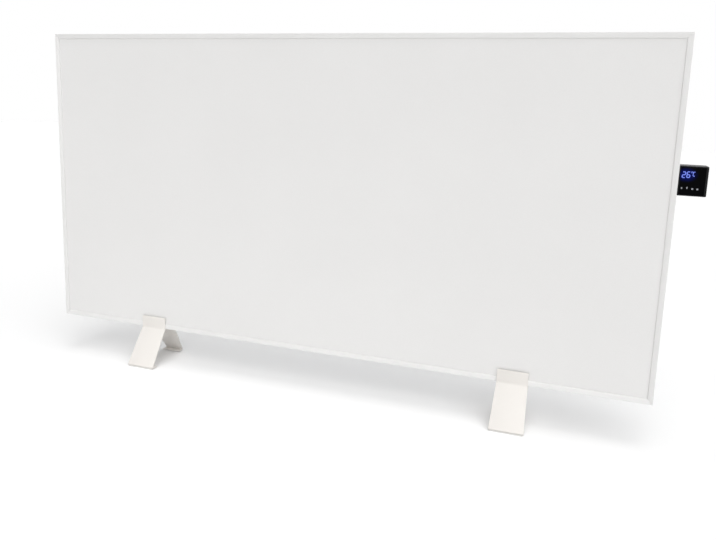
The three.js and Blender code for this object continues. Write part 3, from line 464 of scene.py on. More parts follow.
@dataclass(frozen=True)
class DisplayPane(Finish):
    """Dark polished pane that the figures behind it light up from within."""

    colour: Colour = (0.0012, 0.0012, 0.0015)
    glow: Colour = (0.001, 0.005, 0.12)
    middle: Pair = (587.5, 452.8)
    reach: Pair = (18.5, 13.0)
    core: float = 0.15

    def mixed(self, recipe: Recipe) -> bpy.types.Material:
        """Mixes the pane.

        Args:
            recipe: Empty recipe.

        Returns:
            The material.
        """
        raw = recipe.add("ShaderNodeTexCoord", out="Object")
        across = recipe.add("ShaderNodeSeparateXYZ", {}, {0: raw}, out="X")
        up = recipe.add("ShaderNodeSeparateXYZ", {}, {0: raw}, out="Z")
        wide = (across * METRE - self.middle[0]) / self.reach[0]
        high = (up * METRE - self.middle[1]) / self.reach[1]
        distance = (wide * wide + high * high) ** 0.5
        haze = recipe.noise(6.0, 3.0, 0.6)
        lit = recipe.span(distance, self.core, 1.0, 1.0, 0.0) * recipe.spread(haze, 0.75, 1.0)
        return recipe.surface({
            "Base Color": rgba(self.colour),
            "Roughness": recipe.span(haze, 0.4, 0.8, 0.05, 0.09),
            "Specular IOR Level": 0.03,
            "Emission Color": recipe.tint(lit, BLACK, self.glow),
            "Emission Strength": 1.0,
        })


@dataclass(frozen=True)
class Lit(Finish):
    """A mark lit behind the pane, or a printed mark that glows with painted light; brightest along
    its middle.
    """

    colour: Colour = (0.23, 0.32, 1.0)
    dim: Colour = (0.14, 0.2, 0.78)
    unlit: Colour = (0.01, 0.01, 0.012)

    def mixed(self, recipe: Recipe) -> bpy.types.Material:
        """Mixes the mark.

        Args:
            recipe: Empty recipe.

        Returns:
            The material.
        """
        uneven = recipe.span(recipe.noise(1.4), 0.35, 0.65, 0.0, 1.0)
        return recipe.surface({
            "Base Color": rgba(self.unlit),
            "Roughness": 0.3,
            "Specular IOR Level": 0.1,
            "Emission Color": recipe.tint(uneven, self.dim, self.colour),
            "Emission Strength": 1.0,
        })


@dataclass(frozen=True)
class CircuitBoard(Finish):
    """Solder mask over copper tracks."""

    mask: Colour = (0.012, 0.1, 0.035)
    track: Colour = (0.03, 0.2, 0.07)
    pitch: float = 2.4

    def mixed(self, recipe: Recipe) -> bpy.types.Material:
        """Mixes the board.

        Args:
            recipe: Empty recipe.

        Returns:
            The material.
        """
        tracks = recipe.span(recipe.seams(self.pitch), 0.12, 0.18, 1.0, 0.0)
        return recipe.surface({
            "Base Color": recipe.tint(tracks, self.mask, self.track),
            "Roughness": recipe.spread(recipe.noise(3.0), 0.3, 0.42),
            "Normal": recipe.bump(tracks, 0.04),
        })


@dataclass(frozen=True)
class Foil(Finish):
    """Thin bright metal foil with soft creases."""

    colour: Colour = (0.78, 0.79, 0.81)
    crease: float = 9.0
    dullest: float = 0.88

    def mixed(self, recipe: Recipe) -> bpy.types.Material:
        """Mixes the foil.

        Args:
            recipe: Empty recipe.

        Returns:
            The material.
        """
        creases = recipe.seams(self.crease)
        wrinkle = recipe.noise(self.crease / 3, 3.0, 0.6)
        dull = shaded(self.colour, self.dullest)
        return recipe.surface({
            "Base Color": recipe.tint(recipe.spread(wrinkle), dull, self.colour),
            "Roughness": recipe.spread(wrinkle, 0.18, 0.34),
            "Metallic": 1.0,
            "Normal": recipe.bump(creases * 0.5 + wrinkle * 0.5, 0.2),
        })


@dataclass(frozen=True)
class Fibre(Finish):
    """Pressed mineral fibre: long matted strands."""

    colour: Colour = (0.62, 0.52, 0.28)
    shade: Colour = (0.42, 0.34, 0.17)

    def mixed(self, recipe: Recipe) -> bpy.types.Material:
        """Mixes the fibre.

        Args:
            recipe: Empty recipe.

        Returns:
            The material.
        """
        strands = recipe.noise(2.2, 5.0, 0.75, (0.15, 1.0, 0.5))
        felt = recipe.noise(11.0, 3.0, 0.6)
        share = recipe.span(strands * 0.6 + felt * 0.4, 0.35, 0.65, 0.0, 1.0)
        return recipe.surface({
            "Base Color": recipe.tint(share, self.shade, self.colour),
            "Roughness": recipe.spread(felt, 0.88, 0.98),
            "Normal": recipe.bump(strands, 0.3),
        })


@dataclass(frozen=True)
class Laminate(Finish):
    """Woven glass-fibre laminate, its weave just showing in the resin."""

    resin: Colour = (0.1, 0.075, 0.05)
    weave: Colour = (0.16, 0.13, 0.09)
    pitch: float = 0.9

    def mixed(self, recipe: Recipe) -> bpy.types.Material:
        """Mixes the laminate.

        Args:
            recipe: Empty recipe.

        Returns:
            The material.
        """
        warp, weft = (
            recipe.add(
                "ShaderNodeTexWave",
                {"bands_direction": direction},
                {"Vector": recipe.place(), "Scale": 160.0 / self.pitch, "Distortion": 0.6},
                out="Fac",
            )
            for direction in ("X", "Z")
        )
        cloth = warp * 0.5 + weft * 0.5
        return recipe.surface({
            "Base Color": recipe.tint(cloth, self.resin, self.weave),
            "Roughness": recipe.span(cloth, 0.2, 0.8, 0.55, 0.4),
            "Normal": recipe.bump(cloth, 0.02),
        })


@dataclass(frozen=True)
class WireSkin(Finish):
    """Extruded wire insulation with faint draw marks."""

    colour: Colour = (0.4, 0.02, 0.015)

    def mixed(self, recipe: Recipe) -> bpy.types.Material:
        """Mixes the insulation.

        Args:
            recipe: Empty recipe.

        Returns:
            The material.
        """
        marks = recipe.noise(1.0, 2.0, 0.5, (1.0, 0.2, 1.0))
        share = recipe.span(marks, 0.35, 0.65, 0.0, 1.0)
        return recipe.surface({
            "Base Color": recipe.tint(share, self.colour, shaded(self.colour, 1.25, 0.01)),
            "Roughness": recipe.spread(marks, 0.4, 0.52),
            "Normal": recipe.bump(marks, 0.01),
        })


FRAME_COAT = PowderCoat("frame_powder_coat", (0.785, 0.78, 0.772), 0.5, 0.42, 0.0, 0.008)
SHEET_COAT = PowderCoat("sheet_powder_coat", (0.785, 0.779, 0.771), 0.9, 0.62, 0.0, 0.02)
COVER_COAT = PowderCoat("cover_coat", (0.66, 0.67, 0.68), 0.7, 0.4, 0.2, 0.012)
FOOT_COAT = PowderCoat("foot_powder_coat", (0.785, 0.757, 0.722), 0.5, 0.45, 0.0, 0.01)
BLACK_PLASTIC = MouldedPlastic("black_moulding", (0.009, 0.009, 0.01), 0.35, 0.42, 0.25)
BEZEL_PLASTIC = MouldedPlastic("bezel_moulding", (0.004, 0.004, 0.0045), 0.3, 0.4, 0.16)
KNOB_PLASTIC = MouldedPlastic("knob_moulding", (0.02, 0.02, 0.021), 0.5, 0.5)
RELAY_PLASTIC = MouldedPlastic("relay_moulding", (0.02, 0.13, 0.36), 0.4, 0.35)
GREY_PLASTIC = MouldedPlastic("component_moulding", (0.26, 0.27, 0.29), 0.4, 0.45)
CERAMIC = MouldedPlastic("terminal_ceramic", (0.72, 0.68, 0.58), 0.6, 0.5)
ZINC = ZincPlate("zinc_plate")
BLACK_RUBBER = Rubber("black_rubber")
PAD_RUBBER = Rubber("pad_silicone", (0.76, 0.752, 0.735), 1.06)
PANE = DisplayPane("display_pane")
FIGURE = Lit("blue_figures")
TOUCH_MARK = Lit("touch_marks", (0.4, 0.41, 0.43), (0.22, 0.23, 0.25))
# The rocker's on and off marks are printed; their emission is a painted glow, not a lamp.
SWITCH_MARK_PAINTED_GLOW = Lit("switch_marks_painted_glow", (0.55, 0.55, 0.55), (0.45, 0.45, 0.45))


# ---- Bench ----


class Work:
    """One piece on the bench, shaped with the hand tools of edit mode. Lengths are millimetres."""

    def __init__(self, name: str) -> None:
        """Takes the primitive just added, with its place moved into its mesh.

        Args:
            name: Name of the piece.
        """
        bpy.ops.object.transform_apply(location=True, rotation=True, scale=True)
        self.obj = bpy.context.object
        self.obj.name = self.obj.data.name = name

    # Starting shapes

    @staticmethod
    def clear() -> None:
        """Leaves edit mode and deselects everything."""
        if bpy.context.object and bpy.context.object.mode != "OBJECT":
            bpy.ops.object.mode_set(mode="OBJECT")
        bpy.ops.object.select_all(action="DESELECT")

    @classmethod
    def block(cls, name: str, low: Point, high: Point) -> Work:
        """A box to start from.

        Args:
            name: Name of the piece.
            low: Lowest corner.
            high: Highest corner.

        Returns:
            The work.
        """
        cls.clear()
        ends = Vector(low) * MM, Vector(high) * MM
        middle = (ends[0] + ends[1]) / 2
        bpy.ops.mesh.primitive_cube_add(size=1.0, location=middle, scale=ends[1] - ends[0])
        return cls(name)

    @classmethod
    def rod(cls, name: str, start: Point, end: Point, radius: float, sides: int) -> Work:
        """A round or many-sided bar to start from.

        Args:
            name: Name of the piece.
            start: Middle of one end.
            end: Middle of the other end.
            radius: Radius over its corners.
            sides: Number of sides.

        Returns:
            The work.
        """
        cls.clear()
        ends = Vector(start) * MM, Vector(end) * MM
        run = ends[1] - ends[0]
        bpy.ops.mesh.primitive_cylinder_add(
            vertices=sides,
            radius=radius * MM,
            depth=run.length,
            location=(ends[0] + ends[1]) / 2,
            rotation=run.to_track_quat("Z", "Y").to_euler(),
        )
        return cls(name)

    @classmethod
    def pin(cls, name: str, near: float, far: float, radius: float, sides: int) -> Work:
        """A bar along the y axis."""
        return cls.rod(name, (0.0, near, 0.0), (0.0, far, 0.0), radius, sides)

    @classmethod
    def post(cls, name: str, low: float, high: float, radius: float, sides: int) -> Work:
        """A bar along the z axis."""
        return cls.rod(name, (0.0, 0.0, low), (0.0, 0.0, high), radius, sides)

    @classmethod
    def strip(cls, name: str, corner: Point, along: Point, up: Point) -> Work:
        """A flat open strip to start from, as wide as along and as high as up.

        Args:
            name: Name of the piece.
            corner: One corner.
            along: Way to the next corner.
            up: Way from there to the third.

        Returns:
            The work.
        """
        cls.clear()
        side, rise = Vector(along) * MM, Vector(up) * MM
        axes = side, rise, side.cross(rise)
        turn = Matrix([axis.normalized() for axis in axes]).transposed()
        bpy.ops.mesh.primitive_plane_add(size=1.0)
        plate = bpy.context.object
        plate.scale = (side.length, rise.length, 1.0)
        plate.rotation_euler = turn.to_euler()
        plate.location = Vector(corner) * MM + (side + rise) / 2
        return cls(name)

    @classmethod
    def ring(cls, name: str, middle: Point, radius: float, thickness: float, turn: Point) -> Work:
        """A ring to start from.

        Args:
            name: Name of the piece.
            middle: Its middle.
            radius: Radius of its core.
            thickness: Thickness of its body.
            turn: Turns about the axes, in degrees.

        Returns:
            The work.
        """
        cls.clear()
        bpy.ops.mesh.primitive_torus_add(
            location=Vector(middle) * MM,
            rotation=radians(turn),
            major_radius=radius * MM,
            minor_radius=thickness / 2 * MM,
            major_segments=32,
            minor_segments=8,
        )
        return cls(name)

    # Edit mode

    def focus(self) -> Work:
        """Makes this the only selected and the active object.

        Returns:
            The work.
        """
        self.clear()
        bpy.context.view_layer.objects.active = self.obj
        self.obj.select_set(True)
        return self

    def edit(self) -> Work:
        """Goes into edit mode unless it is there.

        Returns:
            The work.
        """
        if bpy.context.object is not self.obj or self.obj.mode != "EDIT":
            self.focus()
            bpy.ops.object.mode_set(mode="EDIT")
        return self

    def pick(self, part: Part, test: Test) -> Work:
        """Selects elements by their place and direction.

        Args:
            part: Vertices, edges or faces.
            test: Takes the place in millimetres and the normal, or an edge's direction.

        Returns:
            The work.
        """
        self.edit()
        bpy.ops.mesh.select_mode(type=part.value)
        bpy.ops.mesh.select_all(action="DESELECT")
        mesh = bmesh.from_edit_mesh(self.obj.data)
        if part is Part.VERT:
            found = [v for v in mesh.verts if test(v.co / MM, v.normal)]
        elif part is Part.EDGE:
            found = [e for e in mesh.edges if test(self._middle(e) / MM, self._way(e))]
        else:
            found = [f for f in mesh.faces if test(f.calc_center_median() / MM, f.normal)]
        for element in found:
            element.select_set(True)
        mesh.select_flush_mode()
        bmesh.update_edit_mesh(self.obj.data)
        if not found:
            raise ValueError(f"nothing picked on {self.obj.name}")
        return self

    @staticmethod
    def _middle(edge: bmesh.types.BMEdge) -> Vector:
        """Middle of an edge."""
        return (edge.verts[0].co + edge.verts[1].co) / 2

    @staticmethod
    def _way(edge: bmesh.types.BMEdge) -> Vector:
        """Direction of an edge, without its sign."""
        run = (edge.verts[1].co - edge.verts[0].co).normalized()
        return Vector(abs(value) for value in run)

    def extrude(self, way: Point) -> Work:
        """Extrudes what is picked by a way."""
        bpy.ops.mesh.extrude_region_move(TRANSFORM_OT_translate={"value": Vector(way) * MM})
        return self

    def inset(self, width: float, depth: float = 0.0, each: bool = False) -> Work:
        """Insets the picked faces.

        Args:
            width: How far inwards.
            depth: How far out along the normal, or in if negative.
            each: Treat every face by itself.

        Returns:
            The work.
        """
        bpy.ops.mesh.inset(thickness=width * MM, depth=depth * MM, use_individual=each)
        return self

    def bevel(self, width: float, segments: int) -> Work:
        """Bevels the picked edges."""
        bpy.ops.mesh.bevel(offset=width * MM, segments=segments, affect="EDGES", clamp_overlap=True)
        return self

    def shift(self, way: Point) -> Work:
        """Moves what is picked."""
        bpy.ops.transform.translate(value=Vector(way) * MM)
        return self

    def swell(self, factors: Point, about: Point = ORIGIN) -> Work:
        """Scales what is picked about a point."""
        bpy.ops.transform.resize(value=factors, center_override=Vector(about) * MM)
        return self

    def slice(self, place: Point, normal: Point, clear: bool = False) -> Work:
        """Cuts the mesh along a plane.

        Args:
            place: A point of the plane.
            normal: Its normal.
            clear: Take away what the normal points to and close the cut.

        Returns:
            The work.
        """
        self.edit()
        bpy.ops.mesh.select_mode(type="FACE")
        bpy.ops.mesh.select_all(action="SELECT")
        bpy.ops.mesh.bisect(
            plane_co=Vector(place) * MM,
            plane_no=Vector(normal).normalized(),
            clear_outer=clear,
            use_fill=clear,
            threshold=PLANE_PLAY,
        )
        return self

    def rows(self, axis: int, levels: Iterable[float]) -> Work:
        """Cuts the mesh across one axis at several levels.

        Args:
            axis: 0, 1 or 2 for x, y or z.
            levels: Places of the cuts on that axis.

        Returns:
            The work.
        """
        normal = Matrix.Identity(3)[axis]
        for level in levels:
            self.slice(normal * level, normal)
        return self

    def heal(self) -> Work:
        """Merges doubles and turns all faces outwards.

        Returns:
            The work.
        """
        self.edit()
        bpy.ops.mesh.select_all(action="SELECT")
        bpy.ops.mesh.remove_doubles(threshold=MERGED)
        bpy.ops.mesh.normals_make_consistent(inside=False)
        return self

    # Object mode

    def modify(self, kind: str, **settings: object) -> Work:
        """Adds one modifier and applies it.

        Args:
            kind: Modifier type.
            **settings: Its properties.

        Returns:
            The work.
        """
        self.focus()
        modifier = self.obj.modifiers.new(kind.title(), kind)
        for key, value in settings.items():
            setattr(modifier, key, value)
        bpy.ops.object.modifier_apply(modifier=modifier.name)
        return self

    def cut(self, *tools: Work) -> Work:
        """Takes the shapes of other works out of this one, and puts them away.

        Args:
            *tools: The works to take out.

        Returns:
            The work.
        """
        for tool in tools:
            tool.focus()
            self.modify("BOOLEAN", operation="DIFFERENCE", solver="EXACT", object=tool.obj)
            bpy.data.objects.remove(tool.obj)
        return self

    def join(self, *others: Work) -> Work:
        """Makes other works part of this one.

        Args:
            *others: The works to take in.

        Returns:
            The work.
        """
        self.focus()
        for other in others:
            other.obj.select_set(True)
        bpy.ops.object.join()
        return self

    def thicken(self, sheet: float) -> Work:
        """Gives an open strip its sheet thickness, half to each side."""
        return self.modify("SOLIDIFY", thickness=sheet * MM, offset=0.0, use_even_offset=True)

    def soften(self, width: float, segments: int = 2, angle: float = 32.0) -> Work:
        """Rounds all edges sharper than an angle.

        Args:
            width: Width of the rounding.
            segments: Number of its facets.
            angle: The angle in degrees.

        Returns:
            The work.
        """
        return self.modify(
            "BEVEL",
            width=width * MM,
            segments=segments,
            limit_method="ANGLE",
            angle_limit=math.radians(angle),
            use_clamp_overlap=True,
        )

    def turned(self, turn: Point = ORIGIN, way: Point = ORIGIN) -> Work:
        """Turns the piece about the origin in degrees, then moves it.

        Args:
            turn: Turns about the axes.
            way: How far to move it.

        Returns:
            The work.
        """
        self.focus()
        self.obj.rotation_euler = radians(turn)
        self.obj.location = Vector(way) * MM
        bpy.ops.object.transform_apply(location=True, rotation=True, scale=True)
        return self

    def twin(self, name: str) -> Work:
        """Copies the work with its mesh.

        Args:
            name: Name of the copy.

        Returns:
            The copy.
        """
        self.focus()
        bpy.ops.object.duplicate(linked=False)
        return Work(name)

    def dress(
        self,
        finish: Finish,
        body: Body,
        slot: Slot,
        replaces: Sequence[str] = (),
        smooth: float = 35.0,
    ) -> bpy.types.Object:
        """Ends the work: shading, material, body and what it stands for.

        Args:
            finish: Its finish.
            body: Body that it rides on.
            slot: Slot of the record; not used.
            replaces: CAD nodes that it stands for.
            smooth: Angle up to which edges are shaded smooth, in degrees.

        Returns:
            The finished object.
        """
        self.focus()
        bpy.ops.object.shade_smooth_by_angle(angle=math.radians(smooth))
        self.obj.data.materials.clear()
        self.obj.data.materials.append(finish.material())
        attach(self.obj, body.value)
        if replaces:
            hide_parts(*replaces)
        LOG.info("%s: %d faces on %s", self.obj.name, len(self.obj.data.polygons), body.value)
        return self.obj


def between(low: float, value: float, high: float) -> bool:
    """Whether a value lies between two others."""
    return low < value < high


def radians(turn: Point) -> list[float]:
    """Turns about the axes, from degrees to radians."""
    return [math.radians(angle) for angle in turn]


def facing(axis: int, sign: float = 1.0) -> Test:
    """Picks faces whose normal, or edges whose direction, lies along an axis."""
    return lambda at, way: way[axis] * sign > STRAIGHT


def anywhere(at: Vector, way: Vector) -> bool:
    """Picks everything."""
    return True


# ---- Panel ----


@dataclass
class PanelFrame:
    """Four mitred aluminium profiles round the radiant sheet.

    A lip is its reach over the outer face and its thickness. The rib is its reach and the depths
    of its two faces behind the front.
    """

    width: float = 1195.0
    height: float = 595.0
    depth: float = 22.0
    wall: float = 1.4
    front_lip: Pair = (9.0, 1.6)
    rear_lip: Pair = (14.0, 1.4)
    rib: Triple = (7.6, 4.9, 6.1)
    gap: float = 0.1
    edge: float = 0.4
    lip_edge: float = 1.1
    sharp: float = 50.0
    middle: float = -21.0
    lift: float = 72.0

    def member(self, name: str, length: float) -> Work:
        """One profile along x with its outer face on z 0 and its open side up.

        Args:
            name: Name of the piece.
            length: Length over the mitres.

        Returns:
            The work.
        """
        half, back = length / 2, self.depth / 2
        work = Work.block(name, (-half, -back, 0.0), (half, back, self.wall))
        strips = (
            (-back, self.front_lip[1] - back, self.front_lip[0]),
            (self.rib[1] - back, self.rib[2] - back, self.rib[0]),
            (back - self.rear_lip[1], back, self.rear_lip[0]),
        )
        work.rows(1, {value for low, high, _ in strips for value in (low, high)} - {-back, back})
        for low, high, reach in strips:
            self._raise(work, low, high, reach)
        for side in (-1.0, 1.0):
            work.slice((side * (half - self.gap), 0.0, 0.0), (side, 0.0, 1.0), clear=True)
        crest = self.front_lip[0] - NEAR
        work.heal().pick(
            Part.EDGE,
            lambda at, way: way.x > STRAIGHT and at.y < NEAR - back and at.z > crest,
        )
        return work.bevel(self.lip_edge, 4).heal().soften(self.edge, 3, self.sharp)

    def _raise(self, work: Work, low: float, high: float, reach: float) -> None:
        """Pulls one strip of the wall's inner face up to its reach.

        Args:
            work: The profile.
            low: Front edge of the strip.
            high: Back edge of the strip.
            reach: Height above the outer face.
        """
        work.pick(Part.FACE, lambda at, way: way.z > STRAIGHT and between(low, at.y, high))
        work.extrude((0.0, 0.0, reach - self.wall))

    def build(self) -> None:
        """Models both lengths once and sets the four members."""
        long = self.member("frame_profile_bottom", self.width)
        short = self.member("frame_profile_left", self.height)
        across, level = self.width / 2, self.lift + self.height / 2
        places = (
            (long.twin("frame_profile_top"), "frame_top", 180.0, 0.0, self.lift + self.height),
            (long, "frame_bottom", 0.0, 0.0, self.lift),
            (short.twin("frame_profile_right"), "frame_right", -90.0, across, level),
            (short, "frame_left", 90.0, -across, level),
        )
        for work, node, turn, x, z in places:
            work.turned((0.0, turn, 0.0), (self.middle + x, 0.0, z))
            work.dress(FRAME_COAT, Body.HEATER, Slot.FRAME, (node,))


@dataclass
class Hangers:
    """Four folded stand-off brackets with keyholes, spot-welded to the back cover.

    The keyhole is its radius and that of its slot, the drop is their levels, and a weld is the
    radius and the depth of its dimple.
    """

    sheet: float = 1.5
    half_crown: float = 20.0
    flange: float = 15.0
    foot: float = 9.6
    crown: float = 39.0
    half_height: float = 20.0
    bend: float = 2.2
    keyhole: Pair = (5.0, 2.5)
    drop: Pair = (-4.0, 8.0)
    weld: Pair = (2.6, 0.25)
    edge: float = 0.25
    places: tuple[tuple[str, float, float], ...] = (
        ("bottom_left", -468.5, 167.0),
        ("top_left", -468.5, 572.0),
        ("bottom_right", 426.5, 167.0),
        ("top_right", 426.5, 572.0),
    )

    def bracket(self) -> Work:
        """One bracket round x 0 and z 0.

        Returns:
            The work.
        """
        half, high = self.half_crown - self.sheet / 2, self.half_height
        top, low = self.crown - self.sheet / 2, self.foot + self.sheet / 2
        work = Work.strip("hanger", (-half, top, -high), (2 * half, 0.0, 0.0), (0.0, 0.0, 2 * high))
        for side in (-1.0, 1.0):
            self._leg(work, side * half, top, low - top, side * (self.flange + self.sheet / 2))
        work.pick(Part.EDGE, lambda at, way: way.z > STRAIGHT and abs(abs(at.x) - half) < NEAR)
        work.bevel(self.bend, 5).heal().thicken(self.sheet)
        wide, slim = self.keyhole
        lower, upper = self.drop
        near, far = top - 2 * self.sheet, top + 2 * self.sheet
        work.cut(
            Work.rod("keyhole", (0.0, near, lower), (0.0, far, lower), wide, 48),
            Work.rod("keyslot", (0.0, near, upper), (0.0, far, upper), slim, 32),
            Work.block("keyway", (-slim, near, lower), (slim, far, upper)),
        )
        spot, face = self.half_crown + self.flange / 2, self.foot + self.sheet
        radius, depth = self.weld
        dimples = [
            Work.rod("weld", (x, face - depth, z), (x, face + 1.0, z), radius, 24)
            for x in (-spot, spot)
            for z in (-high / 2, high / 2)
        ]
        return work.cut(*dimples).soften(self.edge, 2)

    @staticmethod
    def _leg(work: Work, edge: float, top: float, drop: float, flange: float) -> None:
        """Folds a leg and its flange off one edge of the crown.

        Args:
            work: The bracket.
            edge: Place of the crown's edge.
            top: Depth of the crown's mid-surface.
            drop: Way to the flange.
            flange: Width of the flange, with its side's sign.
        """
        work.pick(
            Part.EDGE,
            lambda at, way: way.z > STRAIGHT and max(abs(at.x - edge), abs(at.y - top)) < CLOSE,
        )
        work.extrude((0.0, drop, 0.0)).extrude((flange, 0.0, 0.0))

    def build(self) -> None:
        """Models one bracket and sets its four copies."""
        first = self.bracket()
        for name, x, z in self.places:
            work = first.twin(f"hanger_bracket_{name}").turned(way=(x, 0.0, z))
            work.dress(ZINC, Body.HEATER, Slot.ZINC, (f"hanger_{name}",))
        bpy.data.objects.remove(first.obj)


# ---- Control housing ----


@dataclass
class ControlHousing:
    """Black shell behind the panel's right edge that wraps forwards round the frame.

    The gland hole is its place on x and y and its radius, the switch hole its sides and its ends.
    The screw's head is its radius and height, its rim the width, drop and rounding of its crown.
    The recess is half an arm's length, half its width and its depth. The shank is how far it stands
    in from the head, and the point is its depth, the width of its taper and the taper's height.
    """

    left: float = 484.0
    step: float = 562.2
    outer: float = 576.8
    right: float = 618.5
    front: float = -4.9
    base: float = 9.6
    notch: float = 11.3
    back: float = 35.0
    bottom: float = 419.95
    top: float = 466.45
    wall: float = 2.0
    radius: float = 3.0
    edge: float = 0.45
    gland_hole: Triple = (549.5, 25.0, 6.1)
    sensor_hole: float = 2.5
    switch_hole: Quad = (591.4, 603.6, 433.7, 452.7)
    screws: tuple[Pair, ...] = (
        (491.0, 425.25),
        (491.0, 461.15),
        (568.25, 425.25),
        (568.25, 461.15),
    )
    counterbore: float = 3.5
    seat: float = 32.5
    head: Pair = (3.2, 2.2)
    rim: Triple = (0.6, 0.7, 0.4)
    recess: Triple = (1.95, 0.42, 1.3)
    shank: float = 1.7
    point: Triple = (7.5, 0.5, 0.01)

    def _hollow(self, name: str, left: float, front: float, right: float) -> Work:
        """A hollow that leaves the wall standing on all sides but the front.

        Args:
            name: Name of the cutter.
            left: Left side of the shell there.
            front: Its open front.
            right: Its right side.

        Returns:
            The cutter.
        """
        thin = self.wall
        low = (left + thin, front - 1.0, self.bottom + thin)
        return Work.block(name, low, (right - thin, self.back - thin, self.top - thin))

    def _drill(self, name: str, x: float, y: float, radius: float, sides: int) -> Work:
        """A round cutter through the bottom wall.

        Args:
            name: Name of the cutter.
            x: Its place across.
            y: Its depth.
            radius: Its radius.
            sides: Number of its sides.

        Returns:
            The cutter.
        """
        low, high = self.bottom - 1.0, self.bottom + self.wall + 1.0
        return Work.rod(name, (x, y, low), (x, y, high), radius, sides)

    def shell(self) -> Work:
        """The shell with its two hollows, counterbores and openings.

        Returns:
            The work.
        """
        low, high = (self.left, self.notch, self.bottom), (self.right, self.back, self.top)
        work = Work.block("housing_shell", low, high)
        work.rows(0, (self.step, self.outer))
        work.pick(Part.FACE, lambda at, way: way.y < -STRAIGHT and at.x > self.outer)
        work.extrude((0.0, self.front - self.notch, 0.0))
        work.pick(Part.FACE, lambda at, way: way.y < -STRAIGHT and at.x < self.step)
        work.extrude((0.0, self.base - self.notch, 0.0))
        work.pick(Part.EDGE, self._is_rear_corner).bevel(self.radius, 8).heal()
        work.cut(
            self._hollow("display_hollow", self.outer, self.front, self.right),
            self._hollow("power_hollow", self.left, self.base, self.step),
        )
        far = self.back + 1.0
        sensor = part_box("room_sensor")
        spot = (sensor[0] + sensor[1]) / 2 / MM
        x0, x1, z0, z1 = self.switch_hole
        work.cut(
            *(
                Work.rod("counterbore", (x, self.seat, z), (x, far, z), self.counterbore, 40)
                for x, z in self.screws
            ),
            self._drill("gland_hole", *self.gland_hole, 32),
            self._drill("sensor_hole", spot.x, spot.y, self.sensor_hole, 24),
            Work.block("switch_hole", (x0, self.back - self.wall - 1.0, z0), (x1, far, z1)),
        )
        return work.soften(self.edge, 3)

    def _is_rear_corner(self, at: Vector, way: Vector) -> bool:
        """Whether an edge is one of the two upright ones at the back's sides."""
        inside = between(self.left + 1.0, at.x, self.right - 1.0)
        return way.z > STRAIGHT and at.y > self.back - NEAR and not inside

    def screw(self) -> Work:
        """One pan-head screw round the y axis, its head towards the back.

        Returns:
            The work.
        """
        seat, (radius, height) = self.seat, self.head
        crown = seat + height
        shoulder, drop, rounding = self.rim
        work = Work.pin("housing_screw", seat, crown, radius, 40)
        work.pick(Part.FACE, facing(1)).inset(shoulder)
        rim = radius - 2 * NEAR
        work.pick(Part.EDGE, lambda at, way: at.y > crown - NEAR and math.hypot(at.x, at.z) > rim)
        work.shift((0.0, -drop, 0.0)).bevel(rounding, 3)
        tip, taper, crowning = self.point
        work.pick(Part.FACE, facing(1, -1.0)).inset(self.shank).extrude((0.0, tip - seat, 0.0))
        work.inset(taper).shift((0.0, -crowning, 0.0))
        long, slim, deep = self.recess
        for turn in (45.0, 135.0):
            arm = Work.block("recess", (-long, crown - deep, -slim), (long, crown + 1.0, slim))
            work.cut(arm.turned((0.0, turn, 0.0)))
        return work.heal().soften(0.08, 2, 40.0)

    def build(self) -> None:
        """Models the shell and its four screws."""
        self.shell().dress(BLACK_PLASTIC, Body.HEATER, Slot.BLACK, ("control_housing",))
        first = self.screw()
        for number, (x, z) in enumerate(self.screws, 1):
            work = first.twin(f"pan_screw_{number}").turned(way=(x, 0.0, z))
            work.dress(ZINC, Body.HEATER, Slot.ZINC, (f"housing_screw_{number}",))
        bpy.data.objects.remove(first.obj)


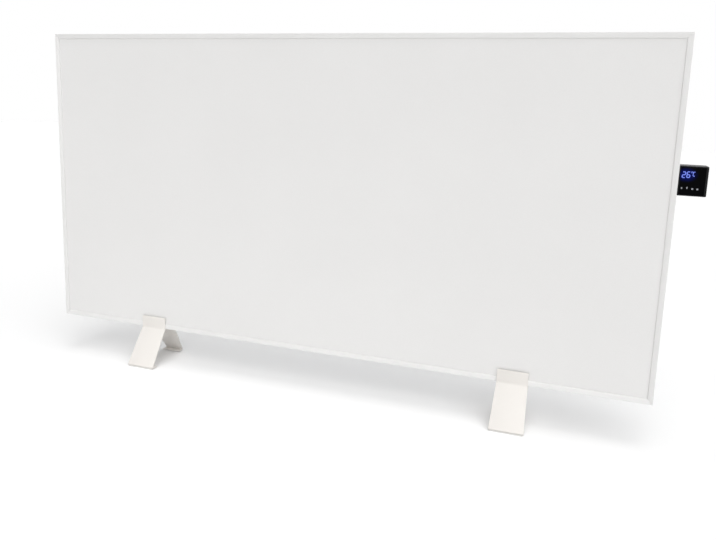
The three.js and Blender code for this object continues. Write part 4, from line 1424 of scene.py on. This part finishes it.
@dataclass
class Display:
    """Bezel, dark window, lit figures and touch marks.

    A corner is the radius of the outline's corners and that of the edges. The window is its sides
    and its ends, a figure its width and height, and the degree sign its place, radius and stroke.
    The leaf's point is the level above which its corners move, and their way.
    """

    left: float = ControlHousing.outer
    right: float = ControlHousing.right
    bottom: float = ControlHousing.bottom
    top: float = ControlHousing.top
    face: float = -7.0
    back: float = -5.0
    corner: Pair = (1.5, 0.3)
    window: Quad = (578.9, 615.2, 421.55, 464.85)
    window_corner: Pair = (1.2, 0.25)
    window_back: float = -5.5
    rebate: float = -5.4
    clearance: float = 0.1
    ledge: float = 1.5
    proud: float = 0.03
    sunk: float = 0.2
    stroke: float = 1.5
    figure: Pair = (5.6, 10.4)
    figures: tuple[tuple[str, float, float], ...] = (("2", 580.9, 447.6), ("6", 587.3, 448.0))
    unit: Pair = (596.2, 450.8)
    degree: Quad = (595.2, 457.2, 1.05, 0.7)
    slant: float = 0.06
    blunt: Pair = (0.8, 0.35)
    diamond: float = 1.05
    diamond_stretch: Point = (0.85, 1.0, 1.25)
    leaf: float = 1.35
    leaf_stretch: Point = (0.7, 1.0, 1.2)
    leaf_point: tuple[float, Point] = (0.9, (0.5, 0.0, 0.35))
    dot: float = 1.45
    square: Pair = (1.3, 1.2)
    square_corner: float = 0.4
    flattened: float = 0.1
    mark_level: float = 431.7
    mark_places: tuple[Pair, ...] = (
        (582.7, 0.2),
        (590.2, 0.8),
        (598.0, -0.3),
        (605.2, -0.5),
    )

    def bezel(self) -> Work:
        """The bezel with a rebate for the window and a throat behind it.

        Returns:
            The work.
        """
        x0, x1, z0, z1 = self.window
        low, high = (self.left, self.face, self.bottom), (self.right, self.back, self.top)
        corner, edge = self.corner
        work = Work.block("bezel", low, high)
        work.pick(Part.EDGE, facing(1)).bevel(corner, 6).heal()
        rim, play, near = self.ledge, self.clearance, self.face - 1.0
        work.cut(
            Work.block(
                "rebate", (x0 - play, near, z0 - play), (x1 + play, self.rebate, z1 + play)
            ),
            Work.block(
                "throat", (x0 + rim, near, z0 + rim), (x1 - rim, self.back + 1.0, z1 - rim)
            ),
        )
        return work.soften(edge, 3)

    def pane(self) -> Work:
        """The window pane with polished edges.

        Returns:
            The work.
        """
        x0, x1, z0, z1 = self.window
        corner, edge = self.window_corner
        work = Work.block("pane", (x0, self.face, z0), (x1, self.window_back, z1))
        work.pick(Part.EDGE, facing(1)).bevel(corner, 5)
        return work.heal().soften(edge, 3)

    def bar(self, name: str, start: Pair, end: Pair) -> Work:
        """One lit bar of a figure on the pane, with pointed ends.

        Args:
            name: Name of the piece.
            start: One end on x and z.
            end: The other end.

        Returns:
            The work.
        """
        run = Vector((end[0] - start[0], 0.0, end[1] - start[1]))
        length, half = run.length, self.stroke / 2
        near, far = self.face - self.proud, self.face + self.sunk
        work = Work.block(name, (half, near, -half), (length - half, far, half))
        for side, x in ((-1.0, half), (1.0, length - half)):
            self._point(work, side, x, half)
        angle = -math.degrees(math.atan2(run.z, run.x))
        return work.turned((0.0, angle, 0.0), (start[0], 0.0, start[1]))

    def _point(self, work: Work, side: float, x: float, half: float) -> None:
        """Draws one end of a bar out to a blunt point.

        Args:
            work: The bar.
            side: Which end, as -1 or 1.
            x: Place of that end.
            half: Half the stroke.
        """
        length, width = self.blunt
        work.pick(Part.FACE, lambda at, way: way.x * side > STRAIGHT and abs(at.x - x) < CLOSE)
        work.extrude((side * half * length, 0.0, 0.0)).swell((1.0, 1.0, width), (x, 0.0, 0.0))

    def numeral(self, name: str, sign: str, x: float, z: float) -> None:
        """Models one seven-segment sign and dresses it.

        Args:
            name: Name of the piece.
            sign: The sign.
            x: Its left edge.
            z: Its foot.
        """
        wide, high = self.figure
        inset = self.stroke / 2
        left, right = inset, wide - inset
        low, mid, top = inset, high / 2, high - inset
        ends = {
            "a": ((left, top), (right, top)),
            "b": ((right, mid), (right, top)),
            "c": ((right, low), (right, mid)),
            "d": ((left, low), (right, low)),
            "e": ((left, low), (left, mid)),
            "f": ((left, mid), (left, top)),
            "g": ((left, mid), (right, mid)),
        }
        lit = {"2": "abged", "6": "acdefg", "C": "adef"}[sign]
        bars = [
            self.bar(
                f"figure_{sign}_{key}",
                *((x + across + self.slant * up, z + up) for across, up in ends[key]),
            )
            for key in lit
        ]
        bars[0].join(*bars[1:])
        bars[0].obj.name = name
        bars[0].heal().dress(FIGURE, Body.HEATER, Slot.WINDOW)

    def marks(self) -> list[Work]:
        """Four plain touch marks: diamond, leaf, dot and square.

        Returns:
            The works.
        """
        near, far, z = self.face - self.proud, self.face + self.sunk, self.mark_level
        half = self.diamond
        diamond = Work.block("touch_mark_diamond", (-half, near, -half), (half, far, half))
        diamond.turned((0.0, 45.0, 0.0))
        diamond.pick(Part.VERT, anywhere).swell(self.diamond_stretch)
        leaf = Work.pin("touch_mark_leaf", near, far, self.leaf, 24)
        leaf.pick(Part.VERT, anywhere).swell(self.leaf_stretch)
        level, way_out = self.leaf_point
        leaf.pick(Part.VERT, lambda at, way: at.z > level).shift(way_out)
        dot = Work.pin("touch_mark_dot", near, far, self.dot, 28)
        wide, high = self.square
        square = Work.block("touch_mark_square", (-wide, near, -high), (wide, far, high))
        square.pick(Part.EDGE, facing(1)).bevel(self.square_corner, 3)
        works = (diamond, leaf, dot, square)
        return [
            work.turned(way=(x, 0.0, z + rise))
            for work, (x, rise) in zip(works, self.mark_places)
        ]

    def build(self) -> None:
        """Models bezel, pane, figures and marks."""
        self.bezel().dress(BEZEL_PLASTIC, Body.HEATER, Slot.BLACK, ("display_bezel",))
        self.pane().dress(PANE, Body.HEATER, Slot.WINDOW, ("display_window",))
        for sign, x, z in self.figures:
            self.numeral(f"lit_figure_{sign}", sign, x, z)
        x, z, radius, stroke = self.degree
        degree = Work.ring("lit_degree", (x, self.face, z), radius, stroke, (90.0, 0.0, 0.0))
        about = (0.0, self.face, 0.0)
        degree.pick(Part.VERT, anywhere).swell((1.0, self.flattened, 1.0), about)
        degree.dress(FIGURE, Body.HEATER, Slot.WINDOW)
        Display(figure=(4.0, 7.4), stroke=1.2).numeral("lit_unit", "C", *self.unit)
        for mark in self.marks():
            mark.dress(TOUCH_MARK, Body.HEATER, Slot.WINDOW)


@dataclass
class MainsSwitch:
    """Flanged switch body and its concave rocker in the back of the housing.

    The pocket is half its width, half its height and its depth. The cap is half the rocker's
    width, half its height and its front and back faces. The keel is half the flat of its back and
    how far the back's ends are raised. The on mark is half its width and its ends, and the off mark
    the radius of its ring and its thickness.
    """

    x: float = 597.5
    z: float = 443.2
    seat: float = 35.1
    face: float = 36.4
    half: Pair = (7.2, 10.6)
    corner: float = 1.2
    pocket: Triple = (4.8, 8.2, 7.2)
    flange: float = 1.3
    lip: float = 0.7
    depth: float = 14.0
    edge: float = 0.3
    pivot: float = 33.4
    tilt: float = 10.0
    cap: Quad = (4.5, 7.3, 3.7, -2.5)
    rows: int = 6
    valley: float = 1.2
    keel: Pair = (2.92, 3.7)
    cap_edge: float = 0.35
    on_mark: Triple = (0.3, 3.0, 5.4)
    on_faces: Pair = (2.7, 3.08)
    on_edge: float = 0.12
    off_place: Point = (0.0, 2.96, -4.2)
    off_mark: Pair = (1.1, 0.5)
    flattened: float = 0.4

    def body(self) -> Work:
        """The body with its rim and pocket.

        Returns:
            The work.
        """
        wide, high = self.half
        inner, tall, deep = self.pocket
        work = Work.block("switch_rim", (-wide, self.seat, -high), (wide, self.face, high))
        work.pick(Part.EDGE, facing(1)).bevel(self.corner, 5)
        work.pick(Part.FACE, facing(1, -1.0)).inset(self.flange).extrude((0.0, -self.depth, 0.0))
        work.pick(Part.FACE, facing(1)).inset(self.lip)
        low, high = (-inner, self.face - deep, -tall), (inner, self.face + 1.0, tall)
        work.heal().cut(Work.block("pocket", low, high))
        return work.soften(self.edge, 3).turned(way=(self.x, 0.0, self.z))

    def rocker(self) -> Work:
        """The rocker, sliced in rows that are pushed in to a hollow face and a keeled back.

        Returns:
            The work.
        """
        wide, reach, front, back = self.cap
        work = Work.block("rocker_cap", (-wide, back, -reach), (wide, front, reach))
        rows = [reach * step / self.rows for step in range(1 - self.rows, self.rows)]
        work.rows(2, rows)
        for z in rows:
            self._push(work, z, front, -self.valley * (1 - (z / reach) ** 2))
        flat, rise = self.keel
        for z in (value for value in (*rows, -reach, reach) if abs(value) > flat + NEAR):
            self._push(work, z, back, (abs(z) - flat) / (reach - flat) * rise)
        return work.heal().soften(self.cap_edge, 3)

    @staticmethod
    def _push(work: Work, z: float, face: float, way: float) -> None:
        """Moves one row of corners of the rocker's front or back.

        Args:
            work: The rocker.
            z: Level of the row.
            face: Depth of the front or the back.
            way: How far to move it along y.
        """
        work.pick(Part.VERT, lambda at, _: abs(at.y - face) < NEAR and abs(at.z - z) < NEAR / 2)
        work.shift((0.0, way, 0.0))

    def build(self) -> None:
        """Models body, rocker and the plain printed on and off marks, which glow with painted
        light.
        """
        self.body().dress(BLACK_PLASTIC, Body.HEATER, Slot.BLACK, ("switch_body",))
        turn, place = (self.tilt, 0.0, 0.0), (self.x, self.pivot, self.z)
        rocker = self.rocker().turned(turn, place)
        rocker.dress(BLACK_PLASTIC, Body.ROCKER, Slot.BLACK, ("switch_rocker",))
        slim, low, high = self.on_mark
        near, far = self.on_faces
        line = Work.block("switch_mark_on", (-slim, near, low), (slim, far, high))
        line.pick(Part.EDGE, facing(1)).bevel(self.on_edge, 2)
        middle = self.off_place
        circle = Work.ring("switch_mark_off", middle, *self.off_mark, (90.0, 0.0, 0.0))
        circle.pick(Part.VERT, anywhere).swell((1.0, self.flattened, 1.0), middle)
        # The printed marks take a painted glow.
        for mark in (line, circle):
            mark.turned(turn, place).dress(SWITCH_MARK_PAINTED_GLOW, Body.ROCKER, Slot.BLACK)


@dataclass
class CableGland:
    """Hexagonal gland body and ribbed cap under the housing.

    The tube is its ends. The thread is its first cut, the spacing of the cuts and the share of the
    radius at its roots. The nose is its two levels and the share of the radius at its end, and a
    rib is every how many sides a groove comes, its margin and its depth.
    """

    x: float = ControlHousing.gland_hole[0]
    y: float = ControlHousing.gland_hole[1]
    collar: float = 419.85
    flange: float = 4.0
    hexagon: float = 8.0
    tube: Pair = (407.9, 425.8)
    radius: float = 5.8
    thread: Triple = (421.2, 0.5, 0.93)
    turns: int = 4
    bore: float = 3.8
    cap: float = 7.9
    cap_top: float = 415.55
    nose: Triple = (407.55, 404.55, 0.77)
    rounding: float = 1.4
    sides: int = 72
    rib: Triple = (3, 0.12, 0.45)
    drill: Pair = (400.0, 430.0)
    hexagon_edge: float = 0.5
    rib_edge: float = 0.12
    sharp: float = 40.0

    def body(self) -> Work:
        """Hexagon with chamfered corners on a threaded tube.

        Returns:
            The work.
        """
        start, spacing, root = self.thread
        work = Work.post("gland_hexagon", self.collar - self.flange, self.collar, self.hexagon, 6)
        work.soften(self.hexagon_edge, 2)
        tube = Work.post("gland_tube", *self.tube, self.radius, 40)
        cuts = [start + spacing * step for step in range(2 * self.turns + 1)]
        tube.rows(2, cuts)
        tube.pick(Part.VERT, lambda at, way: any(abs(at.z - z) < NEAR / 2 for z in cuts[1::2]))
        tube.swell((root, root, 1.0)).heal()
        bore = Work.post("bore", *self.drill, self.bore, 32)
        return work.join(tube).cut(bore).turned(way=(self.x, self.y, 0.0))

    def dome(self) -> Work:
        """Cap with grip ribs and a rounded nose.

        Returns:
            The work.
        """
        top, end, slim = self.nose
        work = Work.post("gland_dome", top, self.cap_top, self.cap, self.sides)
        work.pick(Part.FACE, facing(2, -1.0)).extrude((0.0, 0.0, end - top))
        work.swell((slim, slim, 1.0), (0.0, 0.0, end))
        work.pick(Part.EDGE, lambda at, way: way.z < NEAR and abs(at.z - top) < NEAR / 2)
        work.bevel(self.rounding, 5).heal()
        every, margin, depth = self.rib
        work.pick(
            Part.FACE,
            lambda at, way: abs(way.z) < NEAR and self._side(at) % every == 0,
        )
        work.inset(margin, -depth, each=True)
        bore = Work.post("cap_bore", self.drill[0], self.collar, self.bore, 40)
        work.cut(bore).soften(self.rib_edge, 2, self.sharp)
        return work.turned(way=(self.x, self.y, 0.0))

    def _side(self, at: Vector) -> int:
        """Number of the cap's side that a place belongs to."""
        return round(math.atan2(at.y, at.x) / math.tau * self.sides - 0.5)

    def build(self) -> None:
        """Models body and cap."""
        self.body().dress(BLACK_PLASTIC, Body.HEATER, Slot.BLACK, ("gland_body",))
        self.dome().dress(BLACK_PLASTIC, Body.HEATER, Slot.BLACK, ("gland_cap",))


# ---- Clamp feet ----


@dataclass
class ClampFoot:
    """One bent sheet foot with its pads and clamp.

    Front and rear are the depths of a leaf's flange and of its toe. The widths are those of the
    front toe, the flanges and the rear toe. The pads are their places, widths and middles. A pad is
    half its depth and its height, and a groove the spacing, half the width and the depth. The dish
    is its rim, the width of its slope and its depth. The scallop gives the share of the radius that
    is left in each row between two lobes. The stem is its tip, the first cut of its thread and its
    radius, and the thread the spacing of the cuts and the share of the radius at its roots.
    """

    side: str
    x: float
    foot: Body
    tip: Body
    screw: Body
    sheet: float = 2.0
    front: Pair = (-12.3, -61.07)
    rear: Pair = (18.0, 61.18)
    flange_top: float = 95.0
    root: float = 71.4
    sole: float = 3.0
    saddle: Pair = (69.7, 71.7)
    saddle_inset: float = 0.3
    widths: Triple = (59.5, 54.0, 40.0)
    lip: float = 14.1
    bend: float = 2.4
    edge: float = 0.35
    axis: float = 82.0
    hole: float = 2.6
    pads: tuple[tuple[str, float, float], ...] = (("front", 55.5, -55.0), ("rear", 36.0, 55.0))
    pad: Pair = (6.0, 1.9)
    pad_edge: float = 0.3
    groove: Triple = (3.2, 0.4, 0.5)
    nut_faces: Pair = (19.1, 23.1)
    nut_radius: float = 4.6
    tip_faces: Pair = (11.3, 13.8)
    tip_radius: float = 4.5
    tip_back: float = 0.8
    tip_edge: float = 0.15
    socket: Pair = (12.3, 1.8)
    knob_faces: Pair = (26.1, 36.1)
    knob_radius: float = 9.0
    knob_edge: float = 0.45
    sharp: float = 40.0
    dish: Triple = (2.6, 0.5, 0.9)
    dish_edge: float = 0.4
    lobes: int = 10
    lobe_rows: int = 8
    scallop: tuple[tuple[int, float], ...] = (
        (4, 0.915),
        (3, 0.93),
        (5, 0.93),
        (2, 0.955),
        (6, 0.955),
    )
    stem: Triple = (12.7, 14.3, 2.3)
    thread: Pair = (0.4, 0.84)
    cuts: int = 31
    nose: float = 0.652

    def leaf(self, name: str, ends: Pair, wide: float, inwards: float) -> Work:
        """A flange, a splayed leaf and a lip, folded from one strip.

        Args:
            name: Name of the piece.
            ends: Depths of the flange and of the toe.
            wide: Width at the toe.
            inwards: 1 where the lip points to the back, else -1.

        Returns:
            The work.
        """
        flange, toe = ends
        across, root = self.widths[1], self.root
        corner, rise = (-across / 2, flange, root), (0.0, 0.0, self.flange_top - root)
        work = Work.strip(name, corner, (across, 0.0, 0.0), rise)
        work.pick(Part.EDGE, lambda at, way: way.x > STRAIGHT and at.z < root + NEAR)
        work.extrude((0.0, toe - flange, self.sole - root)).swell((wide / across, 1.0, 1.0))
        work.extrude((0.0, inwards * self.lip, 0.0))
        work.pick(
            Part.EDGE,
            lambda at, way: way.x > STRAIGHT and min(abs(at.z - root), abs(at.y - toe)) < NEAR,
        )
        return work.bevel(self.bend, 6).heal().thicken(self.sheet)

    def bracket(self) -> Work:
        """Both leaves with the saddle welded between them.

        Returns:
            The work.
        """
        wide_front, wide, wide_rear = self.widths
        front = self.leaf("front_leaf", self.front, wide_front, 1.0)
        rear = self.leaf("rear_leaf", self.rear, wide_rear, -1.0)
        depth, reach = self.rear[0], 1.5 * self.sheet
        start, end = (0.0, depth - reach, self.axis), (0.0, depth + reach, self.axis)
        rear.cut(Work.rod("clamp_hole", start, end, self.hole, 32))
        half, (low, high) = wide / 2 - self.saddle_inset, self.saddle
        saddle = Work.block("saddle", (-half, self.front[0], low), (half, depth, high))
        saddle.rows(2, [(low + high) / 2]).heal()
        works = [piece.soften(self.edge, 3) for piece in (front, rear, saddle)]
        return works[0].join(*works[1:])

    def sole_pad(self, name: str, wide: float, y: float) -> Work:
        """A pad with rounded edges and grip grooves underneath.

        Args:
            name: Name of the piece.
            wide: Width.
            y: Depth of its middle.

        Returns:
            The work.
        """
        half, (reach, high) = wide / 2, self.pad
        spacing, slim, deep = self.groove
        work = Work.block(name, (-half, y - reach, 0.0), (half, y + reach, high))
        middles = [y + spacing * step for step in (-1, 0, 1)]
        work.rows(1, (middle + side for middle in middles for side in (-slim, slim)))
        work.pick(
            Part.FACE,
            lambda at, way: way.z < -STRAIGHT and any(abs(at.y - m) < slim for m in middles),
        )
        return work.extrude((0.0, 0.0, deep)).heal().soften(self.pad_edge, 3)

    def nut(self) -> Work:
        """Weld nut with chamfered corners.

        Returns:
            The work.
        """
        near, far = self.nut_faces
        work = Work.pin("weld_nut", near, far, self.nut_radius, 6).soften(self.edge, 2)
        return work.cut(Work.pin("nut_bore", near - 1.0, far + 1.0, self.hole, 32))

    def swivel(self) -> Work:
        """Swivel tip: a disc with a rounded back and a socket.

        Returns:
            The work.
        """
        near, far = self.tip_faces
        floor, radius = self.socket
        work = Work.pin("swivel", near, far, self.tip_radius, 48)
        work.pick(Part.EDGE, lambda at, way: at.y > far - NEAR).bevel(self.tip_back, 3)
        work.heal().cut(Work.pin("socket", floor, far + 1.0, radius, 32))
        return work.soften(self.tip_edge, 2)

    def knob(self) -> Work:
        """Scalloped knob with a dished face on a threaded stem.

        Returns:
            The work.
        """
        near, far = self.knob_faces
        work = Work.pin("knob", near, far, self.knob_radius, self.lobes * self.lobe_rows)
        for row, factor in self.scallop:
            work.pick(Part.VERT, self._in_row(row)).swell((factor, 1.0, factor))
        rim, slope, deep = self.dish
        work.pick(Part.FACE, facing(1)).inset(rim).inset(slope, -deep).inset(self.dish_edge)
        work.heal().soften(self.knob_edge, 3, self.sharp)
        tip, start, radius = self.stem
        spacing, root = self.thread
        stem = Work.pin("stem", tip, near + 1.0, radius, 32)
        cuts = [start + spacing * step for step in range(self.cuts)]
        stem.rows(1, cuts)
        stem.pick(Part.VERT, lambda at, way: any(abs(at.y - y) < NEAR for y in cuts[1::2]))
        stem.swell((root, 1.0, root))
        stem.pick(Part.VERT, lambda at, way: at.y < start - NEAR)
        stem.swell((self.nose, 1.0, self.nose))
        return work.join(stem.heal())

    def _in_row(self, row: int) -> Test:
        """Picks the corners in one row of every scallop, by its place between two lobes."""
        rows, corners = self.lobe_rows, self.lobes * self.lobe_rows
        return lambda at, way: round(math.atan2(at.z, at.x) / math.tau * corners) % rows == row

    def build(self) -> None:
        """Models the foot and all that it carries."""
        side = self.side
        across, on_axis = (self.x, 0.0, 0.0), (self.x, 0.0, self.axis)
        bracket = self.bracket().turned(way=across)
        bracket.obj.name = f"clamp_foot_{side}"
        bracket.dress(FOOT_COAT, self.foot, Slot.FOOT, (f"foot_bracket_{side}",))
        for place, wide, y in self.pads:
            pad = self.sole_pad(f"foot_sole_{side}_{place}", wide, y).turned(way=across)
            pad.dress(PAD_RUBBER, self.foot, Slot.PAD, (f"foot_pad_{side}_{place}",))
        pieces = (
            (self.nut(), "weld_nut", ZINC, self.foot, Slot.ZINC, "clamp_nut"),
            (self.swivel(), "swivel_tip", BLACK_RUBBER, self.tip, Slot.RUBBER, "clamp_tip"),
            (self.knob(), "clamp_knob", KNOB_PLASTIC, self.screw, Slot.BLACK, "clamp_screw"),
        )
        for work, name, finish, body, slot, node in pieces:
            work.turned(way=on_axis).obj.name = f"{name}_{side}"
            work.dress(finish, body, slot, (f"{node}_{side}",))


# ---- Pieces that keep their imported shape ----


@dataclass
class KeptPieces:
    """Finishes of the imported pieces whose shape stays."""

    finishes: dict[str, Finish] = field(default_factory=lambda: {
        "radiant_sheet": SHEET_COAT,
        "back_cover": COVER_COAT,
        "edge_gasket": BLACK_RUBBER,
        "heater_board": Laminate("heater_laminate_weave"),
        "heating_track": Foil("heating_track_foil", (0.6, 0.6, 0.62), 5.0),
        "reflective_foil": Foil("reflector_foil"),
        "insulation_board": Fibre("mineral_fibre"),
        "housing_base": BLACK_PLASTIC,
        "gland_locknut": BLACK_PLASTIC,
        "digit_module": GREY_PLASTIC,
        "touch_pads": BLACK_RUBBER,
        "infrared_receiver": KNOB_PLASTIC,
        "display_board": CircuitBoard("display_board_mask"),
        "power_board": CircuitBoard("power_board_mask"),
        "relay": RELAY_PLASTIC,
        "power_module": KNOB_PLASTIC,
        "wireless_module": ZINC,
        "terminal_block": CERAMIC,
        "thermal_cutout": GREY_PLASTIC,
        "wire_grommet": BLACK_RUBBER,
        "lead_wire_live": WireSkin("red_wire_skin"),
        "lead_wire_neutral": WireSkin("blue_wire_skin", (0.02, 0.08, 0.36)),
        "room_sensor": GREY_PLASTIC,
    })

    def build(self) -> None:
        """Gives every kept piece its finish."""
        corners = ("bottom_left", "bottom_right", "top_left", "top_right")
        keys = {f"corner_key_{corner}": ZINC for corner in corners}
        for node, finish in {**self.finishes, **keys}.items():
            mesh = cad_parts[node].data
            mesh.materials.clear()
            mesh.materials.append(finish.material())
            LOG.info("%s keeps its shape in %s", node, finish.name)


# ---- Studio ----


@dataclass
class Studio:
    """White floor and background, soft light and the camera of the photograph.

    A lamp is its name, strength, turn and spread. The eye is the camera's place in millimetres,
    and right, down and forward are its directions.
    """

    floor_size: float = 24.0
    floor_colour: Colour = (0.94, 0.94, 0.94)
    sky: float = 0.26
    suns: tuple[tuple[str, float, Point, float], ...] = (
        ("key_light", 2.1, (29.0, 23.0, 0.0), 76.0),
        ("top_light", 0.85, (-3.0, 2.0, 0.0), 36.0),
        ("front_fill", 0.12, (75.0, 0.0, 8.0), 25.0),
    )
    eye: Point = (458.42, -1186.63, 537.04)
    right: Point = (0.94301428, 0.3310923, 0.03319589)
    down: Point = (0.08817722, -0.152451, -0.98436958)
    forward: Point = (-0.32085644, 0.93120169, -0.17295827)
    sensor: float = 36.0
    lens: float = 34.731
    shift_y: float = -0.0559
    sight: float = 100.0

    def floor(self) -> None:
        """Adds the floor, a wide sheet with its shadow left on it."""
        Work.clear()
        bpy.ops.mesh.primitive_plane_add(size=self.floor_size)
        sheet = bpy.context.object
        sheet.name = "studio_floor"
        recipe = Recipe(bpy.data.materials.new("studio_floor"))
        faint = recipe.spread(recipe.noise(900.0))
        sheet.data.materials.append(recipe.surface({
            "Base Color": recipe.tint(faint, self.floor_colour, shaded(self.floor_colour, 1.004)),
            "Roughness": 0.9,
            "Specular IOR Level": 0.0,
        }))

    def world(self) -> None:
        """Adds the background: white to the eye, in glass and in gloss, softer as a light."""
        world = bpy.data.worlds.new("studio")
        bpy.context.scene.world = world
        recipe = Recipe(world)
        camera, gloss, glass = (
            recipe.add("ShaderNodeLightPath", out=f"Is {kind} Ray")
            for kind in ("Camera", "Glossy", "Transmission")
        )
        soft, white = (
            recipe.add("ShaderNodeBackground", {}, {"Color": rgba(WHITE), "Strength": strength})
            for strength in (self.sky, 1.0)
        )
        mix = recipe.add("ShaderNodeMixShader", {}, {0: camera | gloss | glass, 1: soft, 2: white})
        recipe.add("ShaderNodeOutputWorld", {}, {"Surface": mix})

    def lamps(self) -> None:
        """Adds the broad key light, the light from above and the soft fill from the front."""
        for name, strength, turn, spread in self.suns:
            Work.clear()
            bpy.ops.object.light_add(type="SUN", rotation=radians(turn))
            lamp = bpy.context.object
            lamp.name = name
            lamp.data.energy = strength
            lamp.data.angle = math.radians(spread)

    def camera(self) -> None:
        """Adds the camera at the photograph's place."""
        Work.clear()
        bpy.ops.object.camera_add()
        camera = bpy.context.object
        camera.name = "photo_camera"
        turn = Matrix((Vector(self.right), -Vector(self.down), -Vector(self.forward))).transposed()
        camera.matrix_world = Matrix.Translation(Vector(self.eye) * MM) @ turn.to_4x4()
        camera.data.sensor_width = self.sensor
        camera.data.lens = self.lens
        camera.data.shift_y = self.shift_y
        camera.data.clip_end = self.sight
        bpy.context.scene.camera = camera

    def build(self) -> None:
        """Sets up camera, floor, light and view."""
        bpy.context.scene.view_settings.view_transform = "Standard"
        self.camera()
        self.floor()
        self.world()
        self.lamps()
        LOG.info("studio ready")


def main() -> None:
    """Builds the studio and every piece in order."""
    logging.basicConfig(level=logging.INFO, format="%(name)s %(message)s")
    Studio().build()
    KeptPieces().build()
    PanelFrame().build()
    Hangers().build()
    ControlHousing().build()
    Display().build()
    MainsSwitch().build()
    CableGland().build()
    ClampFoot("left", -390.25, Body.FOOT_LEFT, Body.TIP_LEFT, Body.SCREW_LEFT).build()
    ClampFoot("right", 348.25, Body.FOOT_RIGHT, Body.TIP_RIGHT, Body.SCREW_RIGHT).build()
    Work.clear()


if __name__ == "__main__":
    main()
